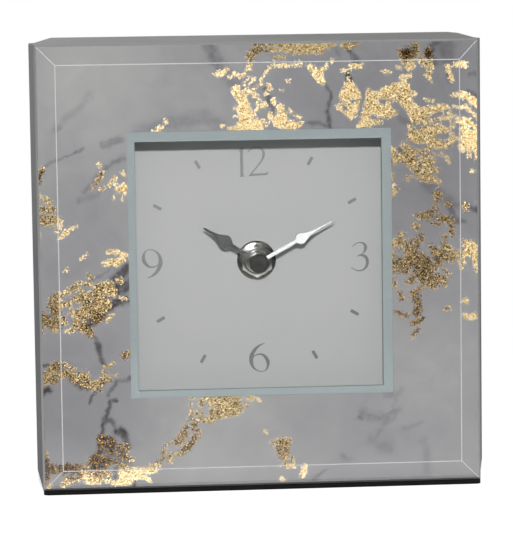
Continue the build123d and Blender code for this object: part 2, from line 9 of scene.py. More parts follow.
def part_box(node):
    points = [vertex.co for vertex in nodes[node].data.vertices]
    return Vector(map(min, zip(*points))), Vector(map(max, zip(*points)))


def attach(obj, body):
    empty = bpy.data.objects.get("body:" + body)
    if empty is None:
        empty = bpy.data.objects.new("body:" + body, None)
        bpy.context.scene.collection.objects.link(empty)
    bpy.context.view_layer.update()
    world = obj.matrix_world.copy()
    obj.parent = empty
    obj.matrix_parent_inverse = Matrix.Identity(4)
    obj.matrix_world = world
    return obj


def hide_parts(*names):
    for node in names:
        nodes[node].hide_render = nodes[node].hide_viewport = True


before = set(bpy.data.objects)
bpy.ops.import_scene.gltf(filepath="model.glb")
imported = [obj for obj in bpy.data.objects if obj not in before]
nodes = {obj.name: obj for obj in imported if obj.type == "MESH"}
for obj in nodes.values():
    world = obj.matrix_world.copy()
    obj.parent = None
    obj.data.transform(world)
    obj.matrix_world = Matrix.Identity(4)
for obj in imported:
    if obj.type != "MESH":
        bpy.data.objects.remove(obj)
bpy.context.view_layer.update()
scene = bpy.context.scene
scene.view_settings.view_transform = "Standard"
mm = 0.001
near = 1e-6  # metres: points closer than this are taken as one
touching = 1e-7  # the same for the washer and the hands, whose points lie closer
upright = Matrix.Rotation(math.pi / 2, 3, "X")  # stands a flat shape up to face the front
print("frame loaded:", len(nodes), "CAD nodes")


def linear(hexColour):
    channels = [int(hexColour[i:i + 2], 16) / 255 for i in (0, 2, 4)]
    return tuple(c / 12.92 if c <= 0.04045 else ((c + 0.055) / 1.055) ** 2.4 for c in channels) + (1.0,)


# settings go to the node's properties, its colour stops or its sockets; links come from other nodes
def addNode(tree, kind, settings=None, links=None):
    node = tree.nodes.new(kind)
    for key, value in (settings or {}).items():
        if key == "stops":
            stops = node.color_ramp.elements
            first, *middle, last = value
            stops[0].position, stops[0].color = first[0], linear(first[1])
            stops[1].position, stops[1].color = last[0], linear(last[1])
            for place, hexColour in middle:
                stops.new(place).color = linear(hexColour)
        elif isinstance(key, str) and hasattr(node, key):
            setattr(node, key, value)
        else:
            node.inputs[key].default_value = value
    for socket, source in (links or {}).items():
        tree.links.new(source, node.inputs[socket])
    return node


def newMaterial(name, sockets):
    material = bpy.data.materials.new(name)
    material.use_nodes = True
    shader = material.node_tree.nodes["Principled BSDF"]
    for socket, value in sockets.items():
        shader.inputs[socket].default_value = value
    return material, material.node_tree, shader


# a surface of one colour with a fine mottle of a second; grain and relief are in millimetres
mottled = {"detail": 5.0, "roughness": 0.6, "darkFrom": 0.35, "lightFrom": 0.65, "reliefShare": 0.6}


def grainedMaterial(name, grain, relief, darker, lighter, sockets, stretch=(1, 1, 1)):
    material, tree, shader = newMaterial(name, sockets)
    place = addNode(tree, "ShaderNodeTexCoord")
    drawn = addNode(tree, "ShaderNodeMapping", {"Scale": stretch}, {"Vector": place.outputs["Object"]})
    mottle = addNode(tree, "ShaderNodeTexNoise",
                     {"Scale": 1 / (grain * mm), "Detail": mottled["detail"],
                      "Roughness": mottled["roughness"]},
                     {"Vector": drawn.outputs["Vector"]})
    tone = addNode(tree, "ShaderNodeValToRGB",
                   {"stops": [(mottled["darkFrom"], darker), (mottled["lightFrom"], lighter)]},
                   {"Fac": mottle.outputs["Fac"]})
    bump = addNode(tree, "ShaderNodeBump", {"Strength": mottled["reliefShare"], "Distance": relief * mm},
                   {"Height": mottle.outputs["Fac"]})
    tree.links.new(tone.outputs["Color"], shader.inputs["Base Color"])
    tree.links.new(bump.outputs["Normal"], shader.inputs["Normal"])
    return material


def dress(material, *names):
    for name in names:
        nodes[name].material_slots[0].material = material


def newPiece(name, bm, materials, body):
    mesh = bpy.data.meshes.new(name)
    bm.to_mesh(mesh)
    bm.free()
    for material in materials:
        mesh.materials.append(material)
    piece = bpy.data.objects.new(name, mesh)
    scene.collection.objects.link(piece)
    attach(piece, body)
    return piece


# rounds the shading, and keeps edges that turn by more than this many degrees crisp
def smoothShading(piece, degrees):
    piece.data.polygons.foreach_set("use_smooth", [True] * len(piece.data.polygons))
    piece.data.set_sharp_from_angle(angle=math.radians(degrees))


def vertsOf(made):
    return [item for item in made["geom"] if isinstance(item, bmesh.types.BMVert)]


# a flat curve that fills its closed outlines
def flatCurve(name):
    curve = bpy.data.curves.new(name, "CURVE")
    curve.dimensions = "2D"
    curve.fill_mode = "BOTH"
    return curve


def meshOfCurve(curve):
    drawing = bpy.data.objects.new("drawing", curve)
    scene.collection.objects.link(drawing)
    bpy.context.view_layer.update()
    mesh = bpy.data.meshes.new_from_object(drawing.evaluated_get(bpy.context.evaluated_depsgraph_get()))
    bpy.data.objects.remove(drawing)
    return mesh


# the way towards a point that many degrees round from the front and up from the floor
def direction(degreesRound, degreesUp):
    turn = math.radians(degreesRound)
    rise = math.radians(degreesUp)
    return Vector((math.sin(turn) * math.cos(rise), -math.cos(turn) * math.cos(rise), math.sin(rise)))


# where the picture was taken from: degrees, millimetres and a sensor across the long side
cameraPlace = {"azimuth": -4.304, "elevation": 5.821, "roll": -0.79, "distance": 938.7,
               "target": (0.055, 0.0, 72.92), "lens": 181.6, "sensor": 36}
roll = math.radians(cameraPlace["roll"])
away = direction(cameraPlace["azimuth"], cameraPlace["elevation"])
across = Vector((0, 0, 1)).cross(away).normalized()
upward = away.cross(across)
rolledAcross = across * math.cos(roll) + upward * math.sin(roll)
rolledUpward = upward * math.cos(roll) - across * math.sin(roll)
camera = bpy.data.objects.new("camera", bpy.data.cameras.new("camera"))
scene.collection.objects.link(camera)
camera.data.lens = cameraPlace["lens"]
camera.data.sensor_width = cameraPlace["sensor"]
axes = Matrix((rolledAcross, rolledUpward, away)).transposed().to_4x4()
spot = (Vector(cameraPlace["target"]) + away * cameraPlace["distance"]) * mm
camera.matrix_world = Matrix.Translation(spot) @ axes
scene.camera = camera
print("camera placed")


# one small lamp above the lens gives the crisp shadows in the recess and the sparkle of the leaf
light = {"lampAway": 1000, "lampRise": 16.0, "lampTurn": -4.3, "lampAcross": 40, "lampWatts": 6.9,
         "lampAim": (0, 0, 75), "frontRoom": 0.16, "frontMirror": 0.08, "rearRoom": 0.5, "backdrop": 1.0,
         "blendFrom": -0.15, "blendTo": 0.15}
lampSide = direction(light["lampTurn"], light["lampRise"])
keyLamp = bpy.data.objects.new("keyLamp", bpy.data.lights.new("keyLamp", "AREA"))
scene.collection.objects.link(keyLamp)
keyLamp.data.shape = "DISK"
keyLamp.data.size = light["lampAcross"] * mm
keyLamp.data.energy = light["lampWatts"]
keyLamp.location = (Vector(light["lampAim"]) + lampSide * light["lampAway"]) * mm
keyLamp.rotation_euler = lampSide.to_track_quat("Z", "Y").to_euler()
keyLamp.visible_camera = False

# the room is dim in front and paler behind, where metal and glass mirror the white backdrop
room = bpy.data.worlds.new("room")
scene.world = room
room.use_nodes = True
tree = room.node_tree
background = tree.nodes["Background"]
background.inputs["Color"].default_value = (1, 1, 1, 1)
rays = addNode(tree, "ShaderNodeLightPath")
mirrored = addNode(tree, "ShaderNodeMath", {"operation": "MAXIMUM"},
                   {0: rays.outputs["Is Glossy Ray"], 1: rays.outputs["Is Transmission Ray"]})
heading = addNode(tree, "ShaderNodeTexCoord")
headingAxes = addNode(tree, "ShaderNodeSeparateXYZ", {}, {"Vector": heading.outputs["Generated"]})
blend = {"From Min": light["blendFrom"], "From Max": light["blendTo"]}
rearFill = addNode(tree, "ShaderNodeMapRange",
                   {**blend, "To Min": light["frontRoom"], "To Max": light["rearRoom"]},
                   {"Value": headingAxes.outputs["Y"]})
rearMirror = addNode(tree, "ShaderNodeMapRange",
                     {**blend, "To Min": light["frontMirror"], "To Max": light["backdrop"]},
                     {"Value": headingAxes.outputs["Y"]})
fill = addNode(tree, "ShaderNodeMix", {},
               {"Factor": mirrored.outputs["Value"], "A": rearFill.outputs["Result"],
                "B": rearMirror.outputs["Result"]})
seen = addNode(tree, "ShaderNodeMix", {"B": 1.0},
               {"Factor": rays.outputs["Is Camera Ray"], "A": fill.outputs["Result"]})
tree.links.new(seen.outputs["Result"], background.inputs["Strength"])

# floor: matt paper, white to the lens away from the base, and it keeps the shadow of the base
floor = {"colour": "f2f2f2", "side": 4000, "nearGlow": 0.66, "nearReach": 100, "farReach": 420,
         "mirrorFront": -140, "mirrorBack": -40, "frontGlow": 0.05}
bm = bmesh.new()
bmesh.ops.create_grid(bm, x_segments=1, y_segments=1, size=floor["side"] * mm / 2)
floorMesh = bpy.data.meshes.new("floor")
bm.to_mesh(floorMesh)
bm.free()
floorObject = bpy.data.objects.new("floor", floorMesh)
scene.collection.objects.link(floorObject)
floorPaper, tree, shader = newMaterial("paleFloorPaper", {"Roughness": 1.0, "Specular IOR Level": 0.0})
place = addNode(tree, "ShaderNodeTexCoord")
placeAxes = addNode(tree, "ShaderNodeSeparateXYZ", {}, {"Vector": place.outputs["Object"]})
reach = addNode(tree, "ShaderNodeVectorMath", {"operation": "LENGTH"}, {0: place.outputs["Object"]})
far = addNode(tree, "ShaderNodeMapRange",
              {"From Min": floor["nearReach"] * mm, "From Max": floor["farReach"] * mm},
              {"Value": reach.outputs["Value"]})
paper = addNode(tree, "ShaderNodeMix", {"data_type": "RGBA", "A": linear(floor["colour"]), "B": (0, 0, 0, 1)},
                {"Factor": far.outputs["Result"]})
tree.links.new(paper.outputs["Result"], shader.inputs["Base Color"])
lensGlow = addNode(tree, "ShaderNodeMapRange", {"To Min": floor["nearGlow"]},
                   {"Value": far.outputs["Result"]})
mirrorGlow = addNode(tree, "ShaderNodeMapRange",
                     {"From Min": floor["mirrorFront"] * mm, "From Max": floor["mirrorBack"] * mm,
                      "To Min": floor["frontGlow"]},
                     {"Value": placeAxes.outputs["Y"]})
rays = addNode(tree, "ShaderNodeLightPath")
mirrored = addNode(tree, "ShaderNodeMath", {"operation": "MAXIMUM"},
                   {0: rays.outputs["Is Glossy Ray"], 1: rays.outputs["Is Transmission Ray"]})
mirrorShare = addNode(tree, "ShaderNodeMath", {"operation": "MULTIPLY"},
                      {0: mirrored.outputs["Value"], 1: mirrorGlow.outputs["Result"]})
lensShare = addNode(tree, "ShaderNodeMath", {"operation": "MULTIPLY_ADD"},
                    {0: rays.outputs["Is Camera Ray"], 1: lensGlow.outputs["Result"],
                     2: mirrorShare.outputs["Value"]})
glow = addNode(tree, "ShaderNodeEmission", {"Color": (1, 1, 1, 1)}, {"Strength": lensShare.outputs["Value"]})
both = addNode(tree, "ShaderNodeAddShader", {}, {0: shader.outputs["BSDF"], 1: glow.outputs["Emission"]})
tree.links.new(both.outputs["Shader"], tree.nodes["Material Output"].inputs["Surface"])
floorMesh.materials.append(floorPaper)
print("lamp, room and floor set")


# float glass: clear, polished flat, so almost nothing of it shows but its bevels
plate = {"edge": 2.7, "bevel": 6.9, "arris": 0.8, "facetHighlightLine": 0.3, "frontSlack": 0.01, "tintDrift": 60,
         "tintDetail": 2.0, "tintStops": [(0.3, "fafcfb"), (0.7, "fdfefd")]}
clearGlass, tree, shader = newMaterial("clearFloatGlass",
                                       {"Transmission Weight": 1.0, "Roughness": 0.0, "IOR": 1.5})
place = addNode(tree, "ShaderNodeTexCoord")
drift = addNode(tree, "ShaderNodeTexNoise",
                {"Scale": 1 / (plate["tintDrift"] * mm), "Detail": plate["tintDetail"]},
                {"Vector": place.outputs["Object"]})
tint = addNode(tree, "ShaderNodeValToRGB", {"stops": plate["tintStops"]}, {"Fac": drift.outputs["Fac"]})
tree.links.new(tint.outputs["Color"], shader.inputs["Base Color"])
# highlight line: a fine line where two facets meet, coloured pale grey-white as a painted highlight of the
# light that a rounded edge catches
facetHighlightLine = grainedMaterial("paintedGlassEdgeHighlight", 0.3, 0.005, "cfcfcf", "dedede", {"Roughness": 0.7})
# seamed edge: the sharp rim is taken off on a stone, which leaves a dull grey band round the plate
seamedEdge = grainedMaterial("seamedGlassEdge", 0.25, 0.01, "949595", "a6a7a7", {"Roughness": 0.5})

plateLow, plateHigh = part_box("front_glass")
plateWidth = plateHigh.x - plateLow.x
plateHeight = plateHigh.z - plateLow.z
plateCentre = (plateLow + plateHigh) / 2
axleHeight = plateCentre.z
slope = math.atan2((plateHigh.y - plateLow.y) - plate["edge"] * mm, plate["bevel"] * mm)
arrisRun = plate["arris"] * mm * math.cos(slope)
arrisRise = plate["arris"] * mm * math.sin(slope)
rimDepth = (plate["edge"] - plate["arris"]) * mm
bm = bmesh.new()
bmesh.ops.create_cube(bm, size=1)
bmesh.ops.scale(bm, vec=(plateWidth, rimDepth, plateHeight), verts=bm.verts)
bmesh.ops.translate(bm, vec=(plateCentre.x, plateHigh.y - rimDepth / 2, plateCentre.z), verts=bm.verts)
front = min(bm.faces, key=lambda face: face.calc_center_median().y)
seam = bmesh.ops.inset_region(bm, faces=[front], thickness=arrisRun, depth=plate["arris"] * mm + arrisRise,
                              use_even_offset=True)
for face in seam["faces"]:
    face.material_index = 2
slopeRun = plate["bevel"] * mm - arrisRun
slopeRise = plateHigh.y - plateLow.y - rimDepth - plate["arris"] * mm - arrisRise
bevelled = bmesh.ops.inset_region(bm, faces=[front], thickness=slopeRun, depth=slopeRise,
                                  use_even_offset=True)
ringEdges = {edge for face in bevelled["faces"] for edge in face.edges}
ridgeLimit = plateLow.y + plate["frontSlack"] * mm
ridges = [edge for edge in ringEdges if min(v.co.y for v in edge.verts) < ridgeLimit]
lines = bmesh.ops.bevel(bm, geom=ridges, offset=plate["facetHighlightLine"] * mm / 2, affect="EDGES", segments=1,
                        profile=0.5, material=-1)
# these narrow faces carry the painted highlight line
for face in lines["faces"]:
    face.material_index = 1
bmesh.ops.recalc_face_normals(bm, faces=bm.faces)
frontPlate = newPiece("frontPlate", bm, [clearGlass, facetHighlightLine, seamedEdge], "case")
# light reaches the print and the dial straight, as through real clear glass
frontPlate.visible_shadow = False
frontPlate.visible_diffuse = False
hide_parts("front_glass")
print("front plate ground")


# the print: grey marble with drifts of metal leaf, listed by where they show on the 513 x 540 picture
printSheet = {"spacing": 0.45, "window": (89.3, 90.2), "windowShift": (0.3, 0.5), "intoGlass": 0.02,
              "pixelsPerMm": 2.947, "centrePixel": (259.8, 264.2), "rowTilt": 0.0214, "columnTilt": 0.0136,
              "bevelLean": 3.6, "browningShadeFade": 4, "browningShadeSpread": 0.45, "bevelSpread": 0.35,
              "wornHeights": [25, 45], "wornLimits": [0.75, 1.5], "veinFade": 2.5, "stoneTone": 0.82,
              "cloudFade": 2, "veinSeed": 1}
# how the veins stray from their strokes: (millimetres, layer of the noise, millimetres to the side)
veinWander = [(5, 0, 0.9), (1.7, 9, 0.6), (0.8, 4, 0.35)]
# each leaf drift is a tapered stroke of (x, y, half width)
leafDrifts = [
    # along the top edge and bevel
    [(254, 45.4, 0.8), (270, 46, 1), (285, 47, 1.4)], [(259, 51.6, 0.8), (285, 51.6, 1)],
    [(285, 49, 4.5), (294, 48, 7), (305, 47, 8), (318, 46.5, 8), (326, 44, 5.5), (333, 42, 3.5)],
    [(318, 49, 4), (320, 53, 2.5)], [(344, 47, 3), (348, 45, 5), (354, 42.5, 4)],
    [(256, 51.6, 2.5), (249, 59, 2)], [(400, 54, 2), (408, 55, 4), (414, 57, 1.5)],
    [(414, 41, 2.5), (415, 47, 2), (416, 52, 1)], [(426, 51, 1), (427, 56, 3)],
    [(446, 66, 2.5), (451, 79, 2)], [(453, 64, 2), (463, 64, 2)],
    # upper middle
    [(250.6, 63, 1.8), (248, 69, 2.5)], [(215, 74.7, 1.5), (220, 74.7, 2.5), (227, 70.4, 1.8)],
    [(227, 77, 0.8), (230.6, 78.5, 1), (234.4, 73.5, 0.9), (240, 76.6, 2), (245, 74.7, 1.6)],
    [(249, 76.5, 0.7), (249.5, 77, 0.7)], [(242.5, 83.5, 0.9), (247, 80.4, 1)],
    [(249.4, 84, 1.1), (254.4, 79, 1)], [(242.5, 87, 0.8), (246, 86.6, 0.9)],
    [(256, 86.6, 0.7), (261, 84.7, 0.9), (260, 82, 0.8), (265, 74.7, 1), (267.5, 69, 0.9), (274, 66, 1.1),
     (285, 66, 1.8)], [(289.4, 66, 1), (300, 64.7, 1.4)], [(275, 60.4, 1.2), (282.5, 59.8, 1.2)],
    [(287, 81.6, 0.9), (289.4, 79.8, 0.9)], [(280.5, 90, 1), (281.5, 90.6, 1)],
    [(307, 66.5, 1.6), (311, 68, 2.6), (316, 74, 4.5), (320, 80, 4), (322, 83, 2)],
    [(316, 74, 3), (322, 70, 2), (326, 65.5, 0.8)], [(330, 62, 0.8), (331, 62, 0.8)],
    [(236, 91, 4.5), (238.7, 97, 3.5), (243.7, 103.5, 5.5), (243.7, 111, 6.5), (247.5, 118.5, 9),
     (248.7, 129, 14.5)], [(260, 122, 1.6), (267, 122, 1.6)], [(234.4, 108, 1), (239, 108, 1)],
    [(234.4, 116, 1), (239, 116, 1)], [(228.7, 129, 1.5), (236, 128, 2)],
    [(222, 126, 1.6), (223, 126, 1.6)], [(245, 91, 2), (250, 91.6, 2), (245, 95, 1.5)],
    [(253.7, 89, 1.3), (253.7, 96, 1.5)], [(258, 97.3, 1.9), (257, 110, 1.3)],
    [(261, 106, 2.3), (265.6, 104.7, 2.3)], [(267.5, 84.7, 2), (269.4, 88.5, 1.9)],
    [(265.5, 93.5, 1.6), (266.5, 94.5, 1.6)], [(273.5, 101, 2.5), (274, 102.5, 2.5)],
    [(280, 107, 3.5), (281, 113.5, 5.5), (279, 121, 7)], [(268.7, 112, 1.5), (271, 117, 3)],
    [(279, 122, 6), (287.5, 124.7, 5), (295, 126, 3.5), (301, 123.5, 2)],
    [(289.4, 109.7, 1), (293.7, 114.7, 0.7), (299.4, 117, 1.4)], [(265.5, 126, 1.1), (267, 126, 1.1)],
    [(341.6, 69.7, 1.5), (347, 71, 1.6)], [(347, 78, 1.2), (347.5, 80, 1.2)],
    [(349.7, 66.5, 1.8), (359.7, 66, 2.3)],
    [(349, 87, 6), (349, 96, 10.5), (350, 104, 9), (350.5, 112, 5.5), (351.5, 118, 2)],
    [(337, 107, 1.5), (342, 109, 2.5), (348, 115, 2)], [(381, 70.5, 0.8), (388, 72, 2)],
    [(366.5, 90, 1.5), (370, 97, 5), (369, 106, 5.5), (366, 114, 4), (362, 123, 4), (358.5, 127, 1.5)],
    [(371, 98, 6), (380, 95, 5), (390, 90, 6), (400, 87, 6)],
    [(372, 104, 7), (380, 110, 7), (388, 112, 5), (393, 112, 3)], [(383, 101, 6), (384, 106, 6)],
    [(395, 95, 6), (403, 92, 7), (405, 101, 6), (411, 108, 5)], [(402, 82, 3.5), (404, 86, 5)],
    [(364, 122, 4.5), (371, 122.5, 3), (380, 120.5, 1.2)], [(403, 61, 2.5), (408, 63, 5.5), (408, 69, 2)],
    [(419, 60, 1.5), (424, 63, 3)], [(428, 59, 2.5), (430, 68, 2.5), (427, 74, 2)],
    [(428, 74, 1.5), (430.5, 81, 1)], [(423, 73, 0.8), (427, 79, 0.8)], [(401, 76.5, 1.8), (409, 75.5, 2)],
    [(395, 66, 1), (399.5, 68, 1.2)],
    # upper right
    [(409, 106, 5), (417, 115, 8), (423, 112, 6)], [(424, 110, 4), (436, 108, 3.5), (445, 106, 3)],
    [(448, 111, 1.5), (453, 115, 1.5), (458, 121, 1.5)],
    [(424, 122, 1.4), (433, 120, 1.3), (443, 116, 1.4), (448, 118, 1.3), (453, 125, 1.3)],
    [(409, 126, 2), (412, 131, 3)], [(411.5, 136, 4.5), (418, 136, 6.5), (425, 133, 7.5), (438, 128, 5)],
    [(438, 126, 3), (448, 130, 2.5), (453, 136, 2)],
    [(430, 141, 4), (443, 144.5, 3.5), (453, 139.5, 2.5), (458, 138.5, 1.5)],
    [(431.5, 146, 2), (425, 150.5, 1.6), (417, 150.5, 1.5)], [(402.7, 144, 2.2), (409, 148.5, 3)],
    [(391, 149, 3), (393, 150, 3)], [(392.7, 158.5, 4), (402.7, 155, 4), (411.5, 153, 4)],
    [(405, 157, 5), (412.7, 163, 5), (416, 166, 3)],
    [(415, 169.5, 2), (422.7, 175, 5), (430, 178, 4), (438, 180.7, 2)], [(407, 177, 1.2), (410, 176, 1.2)],
    [(420.5, 158.5, 1.5), (427, 155, 1.6), (433.8, 155, 1.2)], [(422.7, 160.7, 3), (431.5, 160.7, 3)],
    [(423.8, 166, 2.6), (436, 169.6, 2.4)], [(442, 153, 1.5), (444, 153, 1.5)],
    [(447.5, 157, 2), (448.5, 160, 2.2)], [(453, 94, 2), (457, 94, 2)],
    [(412, 92.5, 2.2), (413, 93.5, 2.2)], [(424, 98.5, 0.9), (432, 100.4, 0.8)],
    [(453, 106, 1.2), (458, 106.5, 1.2)], [(391.5, 174, 1.5), (391.5, 178, 2)],
    [(392.7, 184, 1.5), (396, 188.5, 1.8), (391.5, 194, 1.5)], [(437, 193, 3.5), (437.7, 197, 3)],
    [(459.5, 93.5, 2), (468, 99, 3.5), (477, 106, 5)],
    [(464, 105.5, 1.5), (470.5, 110.7, 1.6), (477, 116, 1.8)],
    [(462, 120, 3), (469, 127, 9), (470, 139, 10)], [(474, 122, 4), (475, 140, 5)],
    [(460.5, 145, 2), (461, 149, 1.2)], [(467, 148.5, 1.5), (476, 146, 2)],
    [(476, 150.7, 1.6), (477, 156, 1.4)], [(467.5, 154.5, 1.2), (468.5, 154.5, 1.2)],
    [(471, 169, 0.8), (471, 170, 0.8)],
    # right middle
    [(435, 204, 1.1), (437, 209, 1)], [(447.5, 202, 1.6), (448.5, 203, 1.6)],
    [(414.6, 214.4, 1), (421.5, 215.6, 1.4), (430, 212, 3.5)],
    [(437.7, 215.6, 1.3), (445, 218, 2.3), (452, 220.6, 2.3)], [(430, 220, 1), (439, 223.7, 1)],
    [(450, 223.7, 1), (452, 227.5, 1.6), (452.7, 233.7, 1.6)], [(444.5, 236, 1.3), (445.5, 236, 1.3)],
    [(414.6, 225, 2.2), (417.7, 227, 2.2)], [(401.5, 233.7, 2.5), (400, 237.5, 2.5)],
    [(394.6, 242.5, 3.5), (401.5, 242.5, 3.5)], [(410, 242, 2), (407.7, 245, 2)],
    [(415.5, 238, 2), (416.5, 239.5, 2)], [(421.5, 233.7, 1.6), (422, 240, 1.1)],
    [(414, 245, 2.5), (416, 246, 2.5)], [(392, 255, 4), (398, 262, 6), (408, 261, 7), (418, 260, 6)],
    [(403, 250, 2.5), (410, 251, 4), (418, 256, 5)], [(391.5, 262, 4), (394, 266, 3)],
    [(418, 258, 6), (425, 262, 6), (427, 270, 7)], [(394, 270.6, 1.2), (407.7, 270.6, 1.2)],
    [(419, 270, 5), (425, 276, 6), (424, 283, 2.5)], [(409, 281, 2.5), (412.7, 277.5, 2.5)],
    [(445, 243, 2.5), (446.5, 246, 3)], [(434, 251, 3), (441, 252, 4), (450, 250, 4), (455, 254, 3)],
    [(431.5, 246, 1.8), (434, 248, 1.8)], [(446, 257, 3.5), (452, 258, 3), (459, 256, 2)],
    [(436, 258, 2.5), (440, 262, 2)], [(430, 268, 3), (438, 264, 2.5)],
    [(433, 279, 4.5), (441, 279, 4.5), (445, 283, 2.5)], [(430, 284, 3), (434, 287, 2)],
    [(446.5, 270, 1), (449, 276, 1)], [(394, 281, 2.2), (393.4, 288, 1.3)],
    [(400, 290.6, 0.9), (402, 298, 1.8)], [(411.5, 293, 1.5), (420, 289, 1.4)],
    [(416, 293.7, 3), (417, 300, 3), (419.6, 305, 1.6)], [(417.7, 310, 3), (417, 313.7, 2.5)],
    [(414, 322.5, 1), (417.7, 322.5, 1.5), (422.7, 318, 0.8)], [(414, 335, 1.6), (418.4, 329.4, 1.1)],
    [(395, 311, 0.7), (401.5, 313.7, 1), (407.7, 315.6, 0.7)], [(446.5, 309.4, 1.5), (450, 308, 1.5)],
    [(464, 205, 1.7), (465, 206, 1.7)], [(464, 242.5, 2.2), (471.5, 243, 2.2)],
    [(462, 252, 3.5), (470, 250, 5), (477, 249, 4.5)], [(461.5, 260, 2.5), (461, 266, 1)],
    [(476.5, 258, 4), (478.4, 272, 1.5)], [(464.5, 301, 1.6), (466, 300.5, 1.6)],
    [(465, 315.5, 1.3), (470, 317.5, 1.8), (476, 315.5, 1.8)],
    # left
    [(45.7, 169.4, 0.8), (42.3, 178.3, 1), (39.6, 183.3, 1.2)], [(37, 197, 1), (43, 197, 1)],
    [(48.4, 199, 1.2), (53.4, 202.8, 1.2)], [(40.7, 209.4, 1.6), (46.2, 210.5, 2.2), (56.2, 209, 1.4)],
    [(38, 220, 2.4), (47.3, 220, 4.2), (56.2, 219.4, 4)], [(57.9, 219.4, 2), (62.9, 221.7, 1.4)],
    [(62.9, 226, 1.4), (60, 230.5, 1.4)], [(61.8, 237.2, 1.2), (67.3, 231.7, 3)],
    [(70.7, 228.3, 1), (79.5, 225.5, 0.6)], [(38.5, 234, 2), (39.5, 236, 2)],
    [(99.5, 163.3, 1.3), (100.7, 166, 1.3)], [(104, 171.7, 0.7), (94, 188, 0.7)],
    [(114, 178, 2.4), (116, 178.5, 2.2)], [(115.5, 182.5, 1.4), (116.5, 184, 1.4)],
    [(110, 184, 1.3), (111.4, 184.8, 1.3)], [(122.9, 172, 1.2), (125, 176, 1.1)],
    [(119.5, 189.4, 3), (125, 187.2, 4)], [(125, 190, 2), (125, 193, 1.8)],
    [(102, 189, 1), (105, 187.5, 1)], [(114, 197, 1), (114, 198.5, 1)],
    [(122.5, 199, 1.3), (123.5, 200, 1.3)], [(166, 121.5, 1.8), (166, 122.5, 1.8)],
    [(161, 128, 2.4), (157, 132, 2)], [(152, 132, 1), (153, 132, 1)],
    [(108.4, 251.7, 1.3), (111.8, 250, 1.3), (118.4, 250.5, 1.3)],
    [(111.8, 252.2, 1.2), (120.7, 252.8, 1.8), (126.2, 255, 3)],
    [(102.9, 263.3, 1.3), (109.5, 261.7, 3.5), (118.4, 261.7, 3.5), (122.9, 258.3, 3)],
    [(81.8, 259.4, 0.9), (87.3, 253.3, 1)], [(64.6, 271, 0.9), (68.4, 269.4, 0.9)],
    [(89.5, 275, 2), (90.5, 276.5, 2)], [(74, 284, 1.3), (80, 282.6, 1.4), (91.5, 284, 1.2)],
    [(59, 295.7, 1.9), (69, 290.7, 2.5), (75, 285.7, 2)], [(76.5, 289, 1), (85, 290, 1)],
    [(99, 289, 5), (108, 286, 5.5), (112, 291, 5)], [(90, 296, 5), (98, 299, 8), (104, 304, 7)],
    [(76, 298, 3), (80, 297, 4), (88, 300, 5)], [(61.5, 304.5, 2.5), (71.5, 302, 2)],
    [(71, 312, 2), (78, 313, 4), (84, 312, 6), (92, 306, 7)],
    [(80, 316, 5), (77, 324, 3.5), (84, 326, 4), (91, 333, 3)], [(97, 315, 4), (98, 319, 3)],
    [(94, 311, 3), (104, 309, 3.5)], [(59, 295.7, 3), (55, 303, 3.5), (58, 312, 3)],
    [(52.7, 320.7, 3.5), (56.5, 327, 3.5)], [(41.5, 315.7, 3.5), (41.5, 324.5, 3.5)],
    [(46, 320, 3), (49, 321, 3)], [(62, 320, 3.5), (63.5, 321.5, 3.5)], [(41, 335, 1.4), (43, 333, 1.2)],
    [(68, 330, 2), (71, 330, 2)], [(109, 320, 2), (112, 314.5, 1.4)],
    [(117.7, 279.5, 1.6), (121.5, 279.5, 2.6)], [(120, 297, 0.8), (127.7, 297.6, 0.8)],
    [(125, 355, 3), (127, 354, 3)], [(105, 365.7, 1.1), (110, 365.7, 1), (114, 362, 0.7)],
    [(114.5, 377, 0.9), (117, 374, 1.2)],
    [(53, 368, 2.5), (59, 365.7, 3), (65, 364, 1.6), (72.7, 368, 1.6)], [(55, 369, 2), (61, 370, 2.5)],
    [(41.5, 373, 2.5), (49, 373, 2), (56.5, 380.7, 2)], [(41.5, 380.7, 1.6), (41.5, 386, 1.4)],
    [(45, 379, 2.5), (48, 380, 2.5)], [(61.5, 373, 3.5), (70, 373, 3.5)],
    [(74, 377, 4), (84, 378, 5.5), (82.7, 382, 3), (96.5, 384.5, 4), (107.7, 378, 3)],
    [(87.7, 387, 1), (100, 389, 1)], [(104.6, 372, 2), (105, 375, 2)],
    # lower left
    [(43, 452, 2.8), (43.8, 454.5, 2.8)], [(42.5, 443, 1), (43.5, 443, 1)],
    [(47, 461, 1.3), (44.6, 470, 2.2), (46.5, 480, 2)], [(47.5, 485, 1.3), (48.5, 486, 1.3)],
    [(47.7, 471, 1.3), (57.7, 471, 1.5), (69, 466, 1.6)], [(54, 467.5, 0.8), (58, 467, 0.8)],
    [(71.5, 468.7, 1.6), (77.7, 467.5, 2), (84, 467.5, 1.6)],
    [(87.7, 467.5, 2), (94, 462.5, 6), (105, 462.5, 4.5), (109, 461, 2)],
    [(99, 439.4, 2.5), (109, 439.4, 2.5), (114, 442.5, 2.2)],
    [(99, 445, 1.1), (105, 446, 1.2), (111.5, 446, 2), (110, 450.6, 1.8)],
    [(119, 448.7, 2), (126.5, 448.7, 2.5)], [(121.5, 455, 2.5), (127.7, 459.4, 2), (132.7, 460, 1.2)],
    [(114, 462.5, 1.4), (121.5, 466, 2.5), (126.5, 467.5, 1.6)],
    [(79, 472, 2.5), (86, 475, 4.5), (96, 474, 4.5), (105, 471, 3)], [(106, 474, 2), (107, 476, 2)],
    [(87.7, 480, 2.5), (97.7, 481, 1.5)], [(106, 480.5, 1), (107, 481, 1)],
    [(77, 478, 1.2), (78, 478.5, 1.2)], [(62.7, 485, 1.3), (66, 480.5, 1.8), (70.9, 477.5, 1.5)],
    [(121.5, 472.5, 3.5), (129, 471, 3.5), (154, 469.4, 1.6)],
    [(124, 476, 4), (119, 481, 3), (127.7, 480, 3)],
    [(132.7, 477.5, 1.3), (144, 476, 0.9), (149, 480, 0.9)], [(112, 483.5, 1.2), (113, 483.5, 1.2)],
